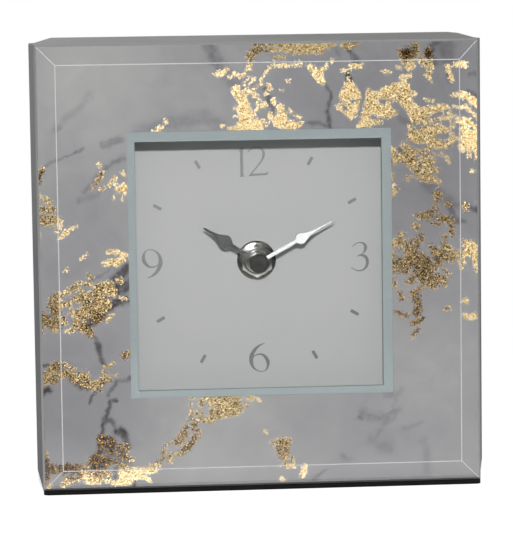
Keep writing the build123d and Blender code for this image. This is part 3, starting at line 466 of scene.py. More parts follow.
    [(149, 467, 1.6), (157.7, 464, 2.4)],
    # lower middle
    [(157.5, 463.7, 0.6), (162.5, 460, 0.6), (163.7, 447.5, 0.6), (168.7, 443.7, 0.7)],
    [(168.7, 456, 1.9), (169.4, 462.5, 1.9)], [(172, 454, 0.8), (178.7, 455.6, 1.5)],
    [(181, 452.5, 2), (187.5, 447.5, 3.2), (192.5, 442.5, 1.8)], [(193.7, 438, 1.8), (196.9, 436, 1.8)],
    [(174.4, 442.5, 1.4), (178.7, 443.7, 1.4), (182, 440.6, 0.9)], [(178, 438, 1), (183.7, 433.7, 2.8)],
    [(185.5, 426.5, 1.5), (185.5, 428.5, 1.5)],
    [(198.7, 420, 2), (193.7, 425, 2), (192.5, 428.7, 1.4), (197.5, 431, 1.6)],
    [(190, 419, 1.3), (191, 413.7, 1.3), (200, 412.5, 1.5)], [(189.5, 398, 1.5), (190.5, 398, 1.5)],
    [(190, 403, 0.8), (190, 409, 0.8)], [(205, 398, 3), (200, 405, 2.5)],
    [(211, 401, 4.5), (222, 402, 8), (233, 402, 6), (237.5, 399, 3)],
    [(212, 412, 4), (222, 410, 7), (234, 410, 6), (240, 408, 3)],
    [(202, 418, 2.5), (208, 421, 3), (216, 417, 2.5), (224, 415, 2)], [(244, 404, 1.8), (246, 406, 1.8)],
    [(249, 397, 2.4), (251, 398, 2.4)], [(257.5, 399.4, 1.3), (260, 402, 1.3)],
    [(265.5, 432, 1.5), (266.5, 433, 1.5)],
    [(270, 444, 1.1), (275, 443, 1.6), (281, 443, 3.5), (288, 442, 2.5)],
    [(282, 449, 6), (284, 455, 5.5), (284, 461, 2)], [(292.5, 459, 1.1), (293, 462.5, 1.2)],
    [(283, 463.7, 0.9), (288.7, 466, 1.3), (293.7, 465, 1)], [(305, 466, 0.9), (303, 475, 2)],
    [(281.5, 479, 1.2), (282.5, 480, 1.2)],
]
# bare spots inside the drifts, drawn in the same way
leafHoles = [
    [(352, 101, 2.7), (352, 102, 2.7)], [(344.7, 107, 2), (344.7, 109, 2)],
    [(339.5, 102, 1.5), (341, 102, 1.5)], [(353, 115, 1), (353, 116, 1)],
    [(381.5, 101, 3.3), (382.5, 101.5, 3.3)], [(391.6, 101, 1.6), (391.6, 106, 1.6)],
    [(254, 117, 1.4), (254, 119, 1.4)], [(258, 100, 0.9), (258, 101, 0.9)],
    [(278.5, 111, 1), (275, 115.4, 1)], [(430, 117, 3), (433, 116, 2.4)],
    [(441, 135.5, 3.5), (447, 135, 3.5)], [(466.5, 125.7, 1.2), (470.5, 128, 1.2)],
    [(462, 99.5, 1.8), (470, 106, 2.4), (478, 113, 2.4)], [(469, 114, 2.0), (475, 121, 2.4)],
    [(399, 252.5, 4.5), (401, 252.5, 4.5)], [(470, 262, 3), (470, 272, 4)],
    [(206, 402, 1.1), (206, 410, 1.1)],
]
# where the leaf has browned and crumbled, and where painted shade darkens the leaf that lies dim under the
# lamp: (x, y, radius) and how far
browningAndShadeSpots = [
    ((420, 262, 40), 0.75), ((415, 312, 35), 0.8), ((440, 215, 35), 0.75), ((420, 140, 34), 0.3),
    ((415, 170, 34), 0.45), ((385, 104, 30), 0.15), ((348, 100, 16), 0.1), ((255, 52, 16), 0.5),
    ((350, 45, 12), 0.1), ((406, 52, 11), 0.95), ((428, 54, 7), 0.95), ((423, 70, 14), 0.3),
    ((92, 300, 30), 0.55), ((50, 312, 22), 0.65), ((98, 317, 10), 0.85), ((84, 328, 14), 0.7),
    ((47, 215, 16), 0.5), ((43, 178, 12), 0.8), ((98, 180, 12), 0.8), ((80, 378, 40), 0.6),
    ((126, 355, 10), 0.8), ((108, 446, 26), 1.0), ((100, 461, 18), 1.0), ((45, 470, 16), 1.0),
    ((70, 467.5, 16), 1.0), ((215, 407, 36), 0.32), ((184, 437, 26), 0.75), ((160, 456, 10), 0.8),
    ((284, 450, 16), 0.65),
]
# each vein is how dark it is, how far it fades out, and a stroke of (x, y, half width)
veins = [
    (0.28, 4, [(208, 48, 3), (216, 62, 4), (222, 70, 3)]), (0.18, 4, [(227, 77, 4), (237, 89, 4)]),
    (0.45, 1.5, [(323, 83, 0.6), (330, 95, 0.8), (327, 111, 1.2), (330, 127, 0.8)]),
    (0.4, 2, [(349, 50, 2), (355, 63, 1.6)]), (0.75, 1.2, [(346, 74, 1.6), (350, 82, 1.6)]),
    (0.4, 2, [(265, 89, 1), (268, 100, 2), (272, 110, 1.6)]), (0.15, 1.5, [(332, 41, 0.6), (338, 58, 0.6)]),
    (0.3, 1.5, [(303, 122, 0.6), (319, 123, 1), (329, 126, 0.8)]),
    (0.4, 3, [(437, 41, 1.5), (430, 53, 3), (433, 63, 1.5)]), (0.25, 6, [(443, 43, 4), (446, 58, 4)]),
    (0.35, 2, [(446, 69, 1), (450, 80, 1.2)]), (0.3, 2, [(468, 74, 1), (476, 73, 1.2)]),
    (0.35, 2, [(468, 92, 1), (479, 95, 1.6)]), (0.18, 3, [(400, 118, 2), (413, 124, 1.5)]),
    (0.12, 4, [(57, 131, 1.5), (75, 113, 1.5), (92, 96, 1.5)]),
    (0.2, 2.5, [(58, 130, 1.6), (60, 128, 1.6)]),
    (0.16, 6, [(140, 132, 3), (160, 126, 3), (205, 117, 4), (221, 124, 2)]),
    (0.4, 1.2, [(65, 158, 0.4), (76, 153, 0.6), (84, 149, 0.5)]),
    (0.25, 1.5, [(40, 184, 0.6), (45, 170, 0.6), (52, 164, 0.5), (63, 159, 0.4)]),
    (0.24, 2.5, [(86, 193, 1), (97, 180, 1), (101, 171, 1), (112, 164, 1.2), (124, 158, 1.2)]),
    (0.16, 2.5, [(80, 201, 1), (98, 195, 1), (105, 188, 0.8)]),
    (0.25, 3, [(104, 145, 2), (112, 143, 2), (122, 140, 1.2)]),
    (0.2, 1.5, [(92, 280, 0.6), (104, 273, 0.7), (112, 266, 0.6)]),
    (0.62, 4, [(129, 267, 2), (119, 276, 3), (112, 285, 3)]),
    (0.68, 4, [(112, 291, 3), (120, 288, 5), (129, 283, 4)]),
    (0.8, 2.5, [(129, 299, 2), (116, 302, 3), (108, 308, 3), (100, 316, 3), (88, 324, 3)]),
    (0.7, 2, [(42, 316, 2), (52, 321, 4), (58, 326, 3)]), (0.6, 2, [(56, 299, 1.5), (58, 313, 2)]),
    (0.55, 1.6, [(93, 334, 1), (98, 346, 1.3), (102, 358, 1.3), (104, 364, 0.8)]),
    (0.7, 1.4, [(40, 363, 1), (50, 366, 1.2), (60, 366, 0.8)]),
    (0.65, 1.6, [(68, 374, 1.4), (78, 384, 1.6), (88, 388, 1.2)]),
    (0.5, 1.2, [(96, 389, 0.5), (92, 396, 0.7), (89, 402, 0.5)]),
    (0.35, 1.6, [(128, 378, 1), (118, 380, 1), (114, 389, 0.8), (108, 396, 0.8)]),
    (0.6, 1.6, [(115, 400, 1), (110, 402, 1.5), (107, 412, 1.1), (104, 424, 0.9), (101, 437, 0.9)]),
    (0.4, 1.6, [(104, 421, 0.7), (109, 420, 0.8), (115, 429, 1)]),
    (0.8, 2, [(115, 433, 1.6), (121, 431, 2.2), (125, 436, 2)]), (0.6, 2.5, [(126, 437, 2), (128, 446, 2)]),
    (0.4, 5, [(106, 450, 4), (116, 456, 5), (123, 464, 4)]),
    (0.75, 2, [(94, 461, 2.2), (98, 454, 2.2), (103, 450, 1.5)]),
    (0.8, 2.5, [(41, 393, 2), (50, 389, 1.6)]), (0.7, 1.6, [(42, 424, 1), (43, 438, 1), (44, 450, 1.4)]),
    (0.65, 1.6, [(134, 478, 1.2), (133, 487, 1.4)]),
    (0.5, 1.5, [(50, 469, 0.6), (58, 471, 0.8), (75, 467, 0.6)]),
    (0.45, 2, [(115, 468, 1.4), (118, 477, 1.4)]),
    (0.18, 5, [(424, 184, 1.5), (434, 190, 3), (446, 198, 3), (452, 204, 1.5)]),
    (0.4, 2, [(449, 204, 1), (451, 212, 1.4), (458, 219, 1.4), (463, 220, 1)]),
    (0.22, 2, [(452, 203, 1), (466, 203, 0.8)]),
    (0.5, 2, [(467, 205, 1), (474, 208, 1.8), (480, 208, 1.5)]), (0.4, 2, [(392, 150, 2), (398, 150, 1.5)]),
    (0.4, 1.5, [(416, 160, 1), (422, 172, 0.8)]),
    (0.25, 2, [(314, 479, 1.4), (318, 474, 1), (326, 470, 0.7)]),
    (0.3, 2, [(359, 418, 1.5), (362, 419, 1.5)]),
    (0.2, 4, [(362, 413, 1.5), (370, 418, 2), (380, 419, 2.5), (388, 417, 2.5)]),
    (0.22, 2, [(380, 421, 1.5), (388, 414, 1.5), (397, 410, 1)]),
    (0.16, 3, [(385, 424, 1.5), (393, 417, 1.5), (400, 410, 1)]),
    (0.14, 3, [(376, 438, 1.5), (381, 430, 1.5)]), (0.12, 4, [(370, 441, 2), (376, 445, 2)]),
    (0.16, 5, [(382, 448, 3), (390, 448, 3)]), (0.13, 2, [(406, 429, 1), (415, 427, 1), (423, 424, 1)]),
    (0.12, 4, [(425, 442, 2), (428, 455, 2), (428, 472, 2)]), (0.2, 3, [(387, 394, 2), (392, 395, 2.5)]),
    (0.12, 2, [(395, 405, 1), (397, 398, 1), (403, 391, 1)]),
    (0.18, 2.5, [(343, 457, 1), (347, 460, 2), (350, 462, 1)]),
]
# broad clouds of the marble: (x, y, radius) and how much lighter or darker, as a share of the tone
clouds = [
    ((90, 80, 70), 0.14), ((190, 440, 90), 0.07), ((440, 370, 50), 0.06), ((420, 180, 90), -0.19),
    ((330, 80, 70), -0.12), ((440, 60, 60), -0.14), ((80, 410, 70), -0.19), ((90, 220, 60), -0.05),
    ((60, 300, 60), -0.05), ((420, 450, 80), -0.04), ((330, 470, 70), -0.04),
]


# picture point to the print's own plane: millimetres right of and above the plate's centre
def onPrint(column, row):
    right = (column - printSheet["centrePixel"][0]) / printSheet["pixelsPerMm"]
    down = (row - printSheet["centrePixel"][1]) / printSheet["pixelsPerMm"]
    return right - printSheet["columnTilt"] * down, -(down + printSheet["rowTilt"] * right)


# how far each point lies from a picture point, in pixels
def pixelsFrom(points, column, row):
    return np.linalg.norm(points - np.array(onPrint(column, row)), axis=1) * printSheet["pixelsPerMm"]


# how far each point lies inside a tapered stroke, in millimetres, less than nothing outside it
def insideStroke(points, stroke):
    best = np.full(len(points), -np.inf)
    for (x0, y0, half0), (x1, y1, half1) in zip(stroke, stroke[1:]):
        start = np.array(onPrint(x0, y0))
        run = np.array(onPrint(x1, y1)) - start
        along = np.clip((points - start) @ run / (run @ run), 0, 1)
        gap = np.linalg.norm(points - start - along[:, None] * run, axis=1)
        half = (half0 + (half1 - half0) * along) / printSheet["pixelsPerMm"]
        best = np.maximum(best, half - gap)
    return best


def veinShift(x, z):
    shift = Vector((0, 0, 0))
    for size, layer, share in veinWander:
        shift += noise.noise_vector((x / size, z / size, layer)) * share
    return shift.xy


printLow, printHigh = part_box("marble_print")
printWidth = printHigh.x - printLow.x
printHeight = printHigh.z - printLow.z
intoGlass = printSheet["intoGlass"] * mm
bm = bmesh.new()
bmesh.ops.create_grid(bm, x_segments=round(printWidth / mm / printSheet["spacing"]),
                      y_segments=round(printHeight / mm / printSheet["spacing"]), size=0.5)
bmesh.ops.scale(bm, vec=(printWidth, printHeight, 1), verts=bm.verts)
bmesh.ops.rotate(bm, cent=(0, 0, 0), matrix=upright, verts=bm.verts)
bmesh.ops.translate(bm, vec=(0, printLow.y - intoGlass, plateCentre.z), verts=bm.verts)
windowHalf = Vector((printSheet["window"][0] * mm / 2, 0, printSheet["window"][1] * mm / 2))
windowMid = Vector((printSheet["windowShift"][0] * mm, 0, plateCentre.z + printSheet["windowShift"][1] * mm))
for outward in (Vector((1, 0, 0)), Vector((-1, 0, 0)), Vector((0, 0, 1)), Vector((0, 0, -1))):
    bmesh.ops.bisect_plane(bm, geom=bm.verts[:] + bm.edges[:] + bm.faces[:], dist=near,
                           plane_co=windowMid + outward * abs(windowHalf.dot(outward)), plane_no=outward)
clear = [face for face in bm.faces if abs(face.calc_center_median().x - windowMid.x) < windowHalf.x
         and abs(face.calc_center_median().z - windowMid.z) < windowHalf.z]
bmesh.ops.delete(bm, geom=clear, context="FACES")
rim = bmesh.ops.extrude_edge_only(bm, edges=[edge for edge in bm.edges if edge.is_boundary])
bmesh.ops.translate(bm, vec=(0, printHigh.y - printLow.y + intoGlass, 0), verts=vertsOf(rim))
bmesh.ops.triangle_fill(bm, edges=[edge for edge in bm.edges if edge.is_boundary])
bmesh.ops.recalc_face_normals(bm, faces=bm.faces)

marblePrint, tree, shader = newMaterial("marblePrintWithLeaf", {"Specular IOR Level": 0.2})
marbleSheet = newPiece("marbleSheet", bm, [marblePrint], "case")
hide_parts("marble_print")
corners = np.zeros(len(marbleSheet.data.vertices) * 3)
marbleSheet.data.vertices.foreach_get("co", corners)
corners = corners.reshape(-1, 3)
onPlate = np.column_stack([corners[:, 0], corners[:, 2] - plateCentre.z]) / mm
tarnish = np.zeros(len(onPlate))
for (column, row, radius), strength in browningAndShadeSpots:
    fade = np.exp(-(pixelsFrom(onPlate, column, row) / radius) ** printSheet["browningShadeFade"])
    tarnish = np.maximum(tarnish, strength * fade)
underBevel = np.abs(onPlate) > np.array([plateWidth, plateHeight]) / mm / 2 - plate["bevel"]
leaf = np.max([insideStroke(onPlate, drift) for drift in leafDrifts], axis=0)
leaf = leaf + printSheet["browningShadeSpread"] * tarnish + printSheet["bevelSpread"] * np.any(underBevel, axis=1)
# high on the plate the leaf is whole, lower down it is worn through
leaf = np.minimum(leaf, np.interp(onPlate[:, 1], printSheet["wornHeights"], printSheet["wornLimits"]))
for hole in leafHoles:
    leaf = np.minimum(leaf, -insideStroke(onPlate, hole))
# without a seed of its own this noise starts from the clock, and the veins would differ each run
noise.seed_set(printSheet["veinSeed"])
wandering = np.array([veinShift(x, z) for x, z in onPlate]) + onPlate
darkness = np.zeros(len(onPlate))
for strength, fade, stroke in veins:
    share = np.clip(1 + insideStroke(wandering, stroke) * printSheet["pixelsPerMm"] / (2 * fade), 0, 1)
    darkness = np.maximum(darkness, strength * share ** printSheet["veinFade"])
tones = np.full(len(onPlate), printSheet["stoneTone"])
for (column, row, radius), change in clouds:
    tones += change * np.exp(-(pixelsFrom(onPlate, column, row) / radius) ** printSheet["cloudFade"])
for name, values in (("leaf", leaf), ("vein", darkness), ("cloud", tones), ("tarnish", tarnish)):
    layer = marbleSheet.data.attributes.new(name, "FLOAT", "POINT")
    layer.data.foreach_set("value", values.astype(np.float32))
# the bevel bends the lamp's light on its way in, so under it the leaf shines as if it leaned inwards
lean = np.zeros((len(onPlate), 3))
lean[:, [0, 2]] = -np.sign(onPlate) * underBevel * math.tan(math.radians(printSheet["bevelLean"]))
layer = marbleSheet.data.attributes.new("lean", "FLOAT_VECTOR", "POINT")
layer.data.foreach_set("vector", lean.astype(np.float32).ravel())
print("marble sheet cut:", len(marbleSheet.data.polygons), "faces")

# marble: soft grey clouds and dark veins in matt ink
marble = {"billow": 14, "billowShare": 0.22, "billowShift": -0.11, "veinBreak": 2.2,
          "breakFrom": 0.35, "breakTo": 0.6, "brokenLeast": 0.5, "brokenMost": 1.05, "roughness": 0.6,
          "stops": [(0.0, "3a3535"), (0.25, "5a5759"), (0.5, "78777b"), (0.75, "969598"), (1.0, "b4b3b2")]}
place = addNode(tree, "ShaderNodeTexCoord")
cloud = addNode(tree, "ShaderNodeAttribute", {"attribute_name": "cloud"})
vein = addNode(tree, "ShaderNodeAttribute", {"attribute_name": "vein"})
billow = addNode(tree, "ShaderNodeTexNoise",
                 {"Scale": 1 / (marble["billow"] * mm), "Detail": 6.0, "Roughness": 0.6, "Distortion": 0.8},
                 {"Vector": place.outputs["Object"]})
billowShift = addNode(tree, "ShaderNodeMath",
                      {"operation": "MULTIPLY_ADD", 1: marble["billowShare"], 2: marble["billowShift"]},
                      {0: billow.outputs["Fac"]})
veinBreak = addNode(tree, "ShaderNodeTexNoise",
                    {"Scale": 1 / (marble["veinBreak"] * mm), "Detail": 6.0, "Roughness": 0.65},
                    {"Vector": place.outputs["Object"]})
veinBroken = addNode(tree, "ShaderNodeMapRange",
                     {"From Min": marble["breakFrom"], "From Max": marble["breakTo"],
                      "To Min": marble["brokenLeast"], "To Max": marble["brokenMost"]},
                     {"Value": veinBreak.outputs["Fac"]})
veinShown = addNode(tree, "ShaderNodeMath", {"operation": "MULTIPLY"},
                    {0: vein.outputs["Fac"], 1: veinBroken.outputs["Result"]})
clouded = addNode(tree, "ShaderNodeMath", {"operation": "ADD"},
                  {0: cloud.outputs["Fac"], 1: billowShift.outputs["Value"]})
veined = addNode(tree, "ShaderNodeMath", {"operation": "SUBTRACT"},
                 {0: clouded.outputs["Value"], 1: veinShown.outputs["Value"]})
stone = addNode(tree, "ShaderNodeValToRGB", {"stops": marble["stops"]}, {"Fac": veined.outputs["Value"]})

# metal leaf: crumbled at its edges, browned in places and darkened there by painted shade, and made of flakes
# that catch the light one by one;
# real flakes are finer, and these are as coarse as they need to be to show
leafLook = {"crumble": 2.0, "crumbleDepth": 5.0, "crumbs": 0.6, "crumbDepth": 7.0, "wornLeast": 0.55,
            "wornMost": 1.05, "edgeFrom": -0.1, "edgeTo": 0.0, "grain": 0.6, "flake": 0.33, "flakeMean": 2.0,
            "flatSpread": 0.2, "brownShadeSpread": 2.0, "flatGrain": 0.2, "brownShadeGrain": 1.2, "flakeLean": 0.3,
            "bump": 0.015, "roughness": 0.44,
            "stops": [(0.37, "6a5430"), (0.45, "9e8655"), (0.52, "b29d74"), (0.61, "c2b498")],
            "brownShadeStops": [(0.43, "090401"), (0.485, "221404"), (0.545, "462e10"), (0.61, "846432")]}
leafDepth = addNode(tree, "ShaderNodeAttribute", {"attribute_name": "leaf"})
browningShadeMap = addNode(tree, "ShaderNodeAttribute", {"attribute_name": "tarnish"})
crumble = addNode(tree, "ShaderNodeTexNoise",
                  {"Scale": 1 / (leafLook["crumble"] * mm), "Detail": 9.0, "Roughness": 0.8},
                  {"Vector": place.outputs["Object"]})
crumbs = addNode(tree, "ShaderNodeTexNoise",
                 {"Scale": 1 / (leafLook["crumbs"] * mm), "Detail": 3.0, "Roughness": 0.75},
                 {"Vector": place.outputs["Object"]})
crumbled = addNode(tree, "ShaderNodeMath",
                   {"operation": "MULTIPLY_ADD", 1: leafLook["crumbleDepth"],
                    2: -leafLook["crumbleDepth"] / 2},
                   {0: crumble.outputs["Fac"]})
crumbedEdge = addNode(tree, "ShaderNodeMath",
                      {"operation": "MULTIPLY_ADD", 1: leafLook["crumbDepth"],
                       2: -leafLook["crumbDepth"] / 2},
                      {0: crumbs.outputs["Fac"]})
roughEdge = addNode(tree, "ShaderNodeMath", {"operation": "ADD"},
                    {0: crumbled.outputs["Value"], 1: crumbedEdge.outputs["Value"]})
wornShare = addNode(tree, "ShaderNodeMapRange",
                    {"To Min": leafLook["wornLeast"], "To Max": leafLook["wornMost"]},
                    {"Value": browningShadeMap.outputs["Fac"]})
wornEdge = addNode(tree, "ShaderNodeMath", {"operation": "MULTIPLY_ADD"},
                   {0: roughEdge.outputs["Value"], 1: wornShare.outputs["Result"],
                    2: leafDepth.outputs["Fac"]})
leafMask = addNode(tree, "ShaderNodeMapRange",
                   {"From Min": leafLook["edgeFrom"], "From Max": leafLook["edgeTo"]},
                   {"Value": wornEdge.outputs["Value"]})
grain = addNode(tree, "ShaderNodeTexNoise",
                {"Scale": 1 / (leafLook["grain"] * mm), "Detail": 3.0, "Roughness": 0.8},
                {"Vector": place.outputs["Object"]})
leafColour = addNode(tree, "ShaderNodeValToRGB", {"stops": leafLook["stops"]}, {"Fac": grain.outputs["Fac"]})
brownShadeColour = addNode(tree, "ShaderNodeValToRGB", {"stops": leafLook["brownShadeStops"]},
                        {"Fac": grain.outputs["Fac"]})
# the leaf's colour goes browner and darker with this map: real browning, and painted shade where the leaf
# lies dim
metalColour = addNode(tree, "ShaderNodeMix", {"data_type": "RGBA"},
                      {"Factor": browningShadeMap.outputs["Fac"], "A": leafColour.outputs["Color"],
                       "B": brownShadeColour.outputs["Color"]})
flakes = addNode(tree, "ShaderNodeTexVoronoi", {"Scale": 1 / (leafLook["flake"] * mm)},
                 {"Vector": place.outputs["Object"]})
flakeLot = addNode(tree, "ShaderNodeSeparateColor", {}, {"Color": flakes.outputs["Color"]})
flakeSpread = addNode(tree, "ShaderNodeMapRange",
                      {"To Min": leafLook["flatSpread"], "To Max": leafLook["brownShadeSpread"]},
                      {"Value": browningShadeMap.outputs["Fac"]})
flakeOff = addNode(tree, "ShaderNodeMath", {"operation": "MULTIPLY", 1: leafLook["flakeMean"]},
                   {0: flakeLot.outputs["Red"]})
flakeTone = addNode(tree, "ShaderNodeMath", {"operation": "POWER"},
                    {0: flakeOff.outputs["Value"], 1: flakeSpread.outputs["Result"]})
flakeColour = addNode(tree, "ShaderNodeVectorMath", {"operation": "SCALE"},
                      {0: metalColour.outputs["Result"], "Scale": flakeTone.outputs["Value"]})
faceColour = addNode(tree, "ShaderNodeMix", {"data_type": "RGBA"},
                     {"Factor": leafMask.outputs["Result"], "A": stone.outputs["Color"],
                      "B": flakeColour.outputs["Vector"]})
facing = addNode(tree, "ShaderNodeNewGeometry")
leaning = addNode(tree, "ShaderNodeAttribute", {"attribute_name": "lean"})
leaned = addNode(tree, "ShaderNodeVectorMath", {"operation": "ADD"},
                 {0: facing.outputs["Normal"], 1: leaning.outputs["Vector"]})
leanedUnit = addNode(tree, "ShaderNodeVectorMath", {"operation": "NORMALIZE"}, {0: leaned.outputs["Vector"]})
grainShare = addNode(tree, "ShaderNodeMapRange",
                     {"To Min": leafLook["flatGrain"], "To Max": leafLook["brownShadeGrain"]},
                     {"Value": browningShadeMap.outputs["Fac"]})
grainShown = addNode(tree, "ShaderNodeMath", {"operation": "MULTIPLY"},
                     {0: leafMask.outputs["Result"], 1: grainShare.outputs["Result"]})
flakeLean = addNode(tree, "ShaderNodeVectorMath", {"operation": "SUBTRACT", 1: (0.5, 0.5, 0.5)},
                    {0: flakes.outputs["Color"]})
flakeAmount = addNode(tree, "ShaderNodeMath", {"operation": "MULTIPLY", 1: leafLook["flakeLean"]},
                      {0: grainShown.outputs["Value"]})
flakeLeant = addNode(tree, "ShaderNodeVectorMath", {"operation": "SCALE"},
                     {0: flakeLean.outputs["Vector"], "Scale": flakeAmount.outputs["Value"]})
flakeFacing = addNode(tree, "ShaderNodeVectorMath", {"operation": "ADD"},
                      {0: leanedUnit.outputs["Vector"], 1: flakeLeant.outputs["Vector"]})
flakeUnit = addNode(tree, "ShaderNodeVectorMath", {"operation": "NORMALIZE"},
                    {0: flakeFacing.outputs["Vector"]})
leafBump = addNode(tree, "ShaderNodeBump", {"Distance": leafLook["bump"] * mm},
                   {"Height": grain.outputs["Fac"], "Strength": grainShown.outputs["Value"],
                    "Normal": flakeUnit.outputs["Vector"]})
leafRough = addNode(tree, "ShaderNodeMapRange",
                    {"To Min": marble["roughness"], "To Max": leafLook["roughness"]},
                    {"Value": leafMask.outputs["Result"]})
tree.links.new(faceColour.outputs["Result"], shader.inputs["Base Color"])
tree.links.new(leafMask.outputs["Result"], shader.inputs["Metallic"])
tree.links.new(leafRough.outputs["Result"], shader.inputs["Roughness"])
tree.links.new(leafBump.outputs["Normal"], shader.inputs["Normal"])
print("marble and leaf coloured")


# numerals: thin serif figures, drawn as closed outlines of (x, y, 1 for a sharp corner) on a fine grid
dial = {"figureHeight": 10.1, "gridHeight": 103, "curveSteps": 6, "barRing": 38.7, "barLength": 3.1,
        "barWidth": 1.1, "barCorner": 0.12, "turn": -0.8, "inkDepth": 0.05, "sunk": 0.01,
        "barHours": (1, 2, 4, 5, 7, 8, 10, 11)}
oneOutline = [(-53, 40, 1), (-47, 46, 1), (-43, 51, 1), (-36, 53, 1), (-37.5, 48, 1), (-37, -41, 1),
              (-35, -48, 1), (-29.5, -50, 1), (-51, -51, 1), (-47.5, -47, 1), (-47.5, -41, 1), (-48, 38, 1)]
twoOutline = [(-23, 31.5, 1), (-17.5, 41, 0), (-7, 49, 0), (5.5, 53, 0), (18.5, 52.5, 0), (30.5, 47, 0),
              (38, 37, 0), (40, 27.5, 0), (38, 17, 0), (31.5, 5, 0), (18.5, -12, 0), (5.5, -27.5, 0),
              (-6, -40.5, 1), (18.5, -40, 0), (41, -38.5, 0), (46.5, -36.5, 0), (51.5, -34, 1),
              (47.5, -46, 1), (32, -47, 0), (5, -48, 0), (-18.5, -50, 1), (-19, -48, 1), (-10.5, -37.5, 0),
              (3, -22.5, 0), (17, -5, 0), (27, 10.5, 0), (30, 24, 0), (29.5, 36, 0), (23.5, 45, 0),
              (13.5, 49, 0), (1.5, 48.5, 0), (-10.5, 42, 0), (-18.5, 35, 0)]
threeOutline = [(-28.5, 31, 1), (-25.5, 37, 0), (-17, 46, 0), (-1.5, 51.5, 0), (12, 50.5, 0), (21.5, 44, 0),
                (26, 33.5, 0), (24, 24, 0), (17, 14.5, 0), (8.5, 8.5, 1), (17, 7, 0), (27.5, -3, 0),
                (31.5, -17, 0), (28.5, -33.5, 0), (19, -45, 0), (5, -51.5, 0), (-8.5, -51.5, 0),
                (-22.5, -45.5, 0), (-32.5, -38.5, 1), (-31, -36.5, 1), (-20.5, -43, 0), (-8.5, -47.5, 0),
                (0, -47.5, 0), (12, -43, 0), (19.5, -31, 0), (21, -18, 0), (17.5, -7, 0), (8.5, 0, 0),
                (-1.5, 2, 0), (-10.5, -0.5, 1), (-10.5, 2.5, 1), (-1.5, 7, 0), (7, 10.5, 0), (12.5, 19, 0),
                (14.5, 32.5, 0), (10.5, 43, 0), (0, 48, 0), (-12, 45, 0), (-20.5, 38.5, 0)]
sixOutline = [(19, 51.5, 1), (20.5, 49, 1), (8.5, 44, 0), (-3.5, 33.5, 0), (-13.5, 20, 0), (-20, 4.5, 1),
              (-12, 11.5, 0), (0, 14.5, 0), (12, 14, 0), (25.5, 6, 0), (35, -7.5, 0), (37, -19.5, 0),
              (34, -33, 0), (25.5, -45, 0), (13.5, -50.5, 0), (5, -51, 0), (-8.5, -47.5, 0),
              (-22.5, -38.5, 0), (-31.5, -24.5, 0), (-35.5, -7.5, 0), (-33.5, 8, 0), (-25.5, 23.5, 0),
              (-13.5, 37, 0), (1.5, 46, 0)]
sixCounter = [(-21.5, -9, 0), (-20, -0.5, 0), (-13.5, 6, 0), (-3.5, 9, 0), (7, 8, 0), (17, -0.5, 0),
              (24, -14.5, 0), (26, -28, 0), (23.5, -40, 0), (15.5, -47, 0), (7, -48, 0), (-5, -45, 0),
              (-15.5, -35, 0), (-20.5, -23, 0)]
nineOutline = [(-x, -y, sharp) for x, y, sharp in sixOutline]
nineCounter = [(-x, -y, sharp) for x, y, sharp in sixCounter]
# each figure's degrees from twelve, its distance from the axle and its outlines
figures = {"twelve": (0, 33.8, [oneOutline, twoOutline]), "three": (90, 35.8, [threeOutline]),
           "six": (180, 33.8, [sixOutline, sixCounter]), "nine": (270, 35.8, [nineOutline, nineCounter])}

# silver ink: a thin bright pigment with a fine flake, and painted light that makes it paler up and to the
# left, towards the lamp
ink = {"paintedLightSlope": (-4.6, 0, 8.9), "flake": 0.6, "flakeShare": 0.8, "flakeShift": -0.58,
       "stops": [(0.0, "6c6c6c"), (1.0, "9a9a9a")]}
silverInk, tree, shader = newMaterial("silverInkWithPaintedLight", {"Roughness": 0.55, "Specular IOR Level": 0.3})
place = addNode(tree, "ShaderNodeTexCoord")
paintedLightSlope = addNode(tree, "ShaderNodeVectorMath", {"operation": "DOT_PRODUCT", 1: ink["paintedLightSlope"]},
                      {0: place.outputs["Object"]})
flake = addNode(tree, "ShaderNodeTexNoise", {"Scale": 1 / (ink["flake"] * mm), "Detail": 3.0},
                {"Vector": place.outputs["Object"]})
flaked = addNode(tree, "ShaderNodeMath",
                 {"operation": "MULTIPLY_ADD", 1: ink["flakeShare"], 2: ink["flakeShift"]},
                 {0: flake.outputs["Fac"]})
# the ink's tone rises towards the lamp: painted light
inkTone = addNode(tree, "ShaderNodeMath", {"operation": "ADD"},
                  {0: paintedLightSlope.outputs["Value"], 1: flaked.outputs["Value"]})
inkColour = addNode(tree, "ShaderNodeValToRGB", {"stops": ink["stops"]}, {"Fac": inkTone.outputs["Value"]})
tree.links.new(inkColour.outputs["Color"], shader.inputs["Base Color"])

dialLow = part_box("dial_plate")[0]


# puts a flat shape, drawn with its top to +Y, on the dial's face at that many degrees from twelve
def dialMatrix(degrees, ring):
    angle = math.radians(degrees + dial["turn"])
    spotOnDial = Vector((math.sin(angle) * ring * mm, dialLow.y, axleHeight + math.cos(angle) * ring * mm))
    return Matrix.Translation(spotOnDial) @ upright.to_4x4()


for name, (degrees, ring, outlines) in figures.items():
    curve = flatCurve(name)
    curve.extrude = dial["inkDepth"] * mm
    curve.resolution_u = dial["curveSteps"]
    unit = dial["figureHeight"] * mm / dial["gridHeight"]
    for outline in outlines:
        spline = curve.splines.new("BEZIER")
        spline.use_cyclic_u = True
        spline.bezier_points.add(len(outline) - 1)
        for point, (x, y, sharp) in zip(spline.bezier_points, outline):
            point.co = (x * unit, y * unit, 0)
            point.handle_left_type = "VECTOR" if sharp else "AUTO"
            point.handle_right_type = "VECTOR" if sharp else "AUTO"
    bm = bmesh.new()
    bm.from_mesh(meshOfCurve(curve))
    bmesh.ops.remove_doubles(bm, verts=bm.verts, dist=near)
    bmesh.ops.transform(bm, matrix=dialMatrix(degrees, ring), verts=bm.verts)
    bmesh.ops.translate(bm, vec=(0, dial["sunk"] * mm - dial["inkDepth"] * mm / 2, 0), verts=bm.verts)
    bmesh.ops.recalc_face_normals(bm, faces=bm.faces)
    newPiece("figure_" + name, bm, [silverInk], "case")

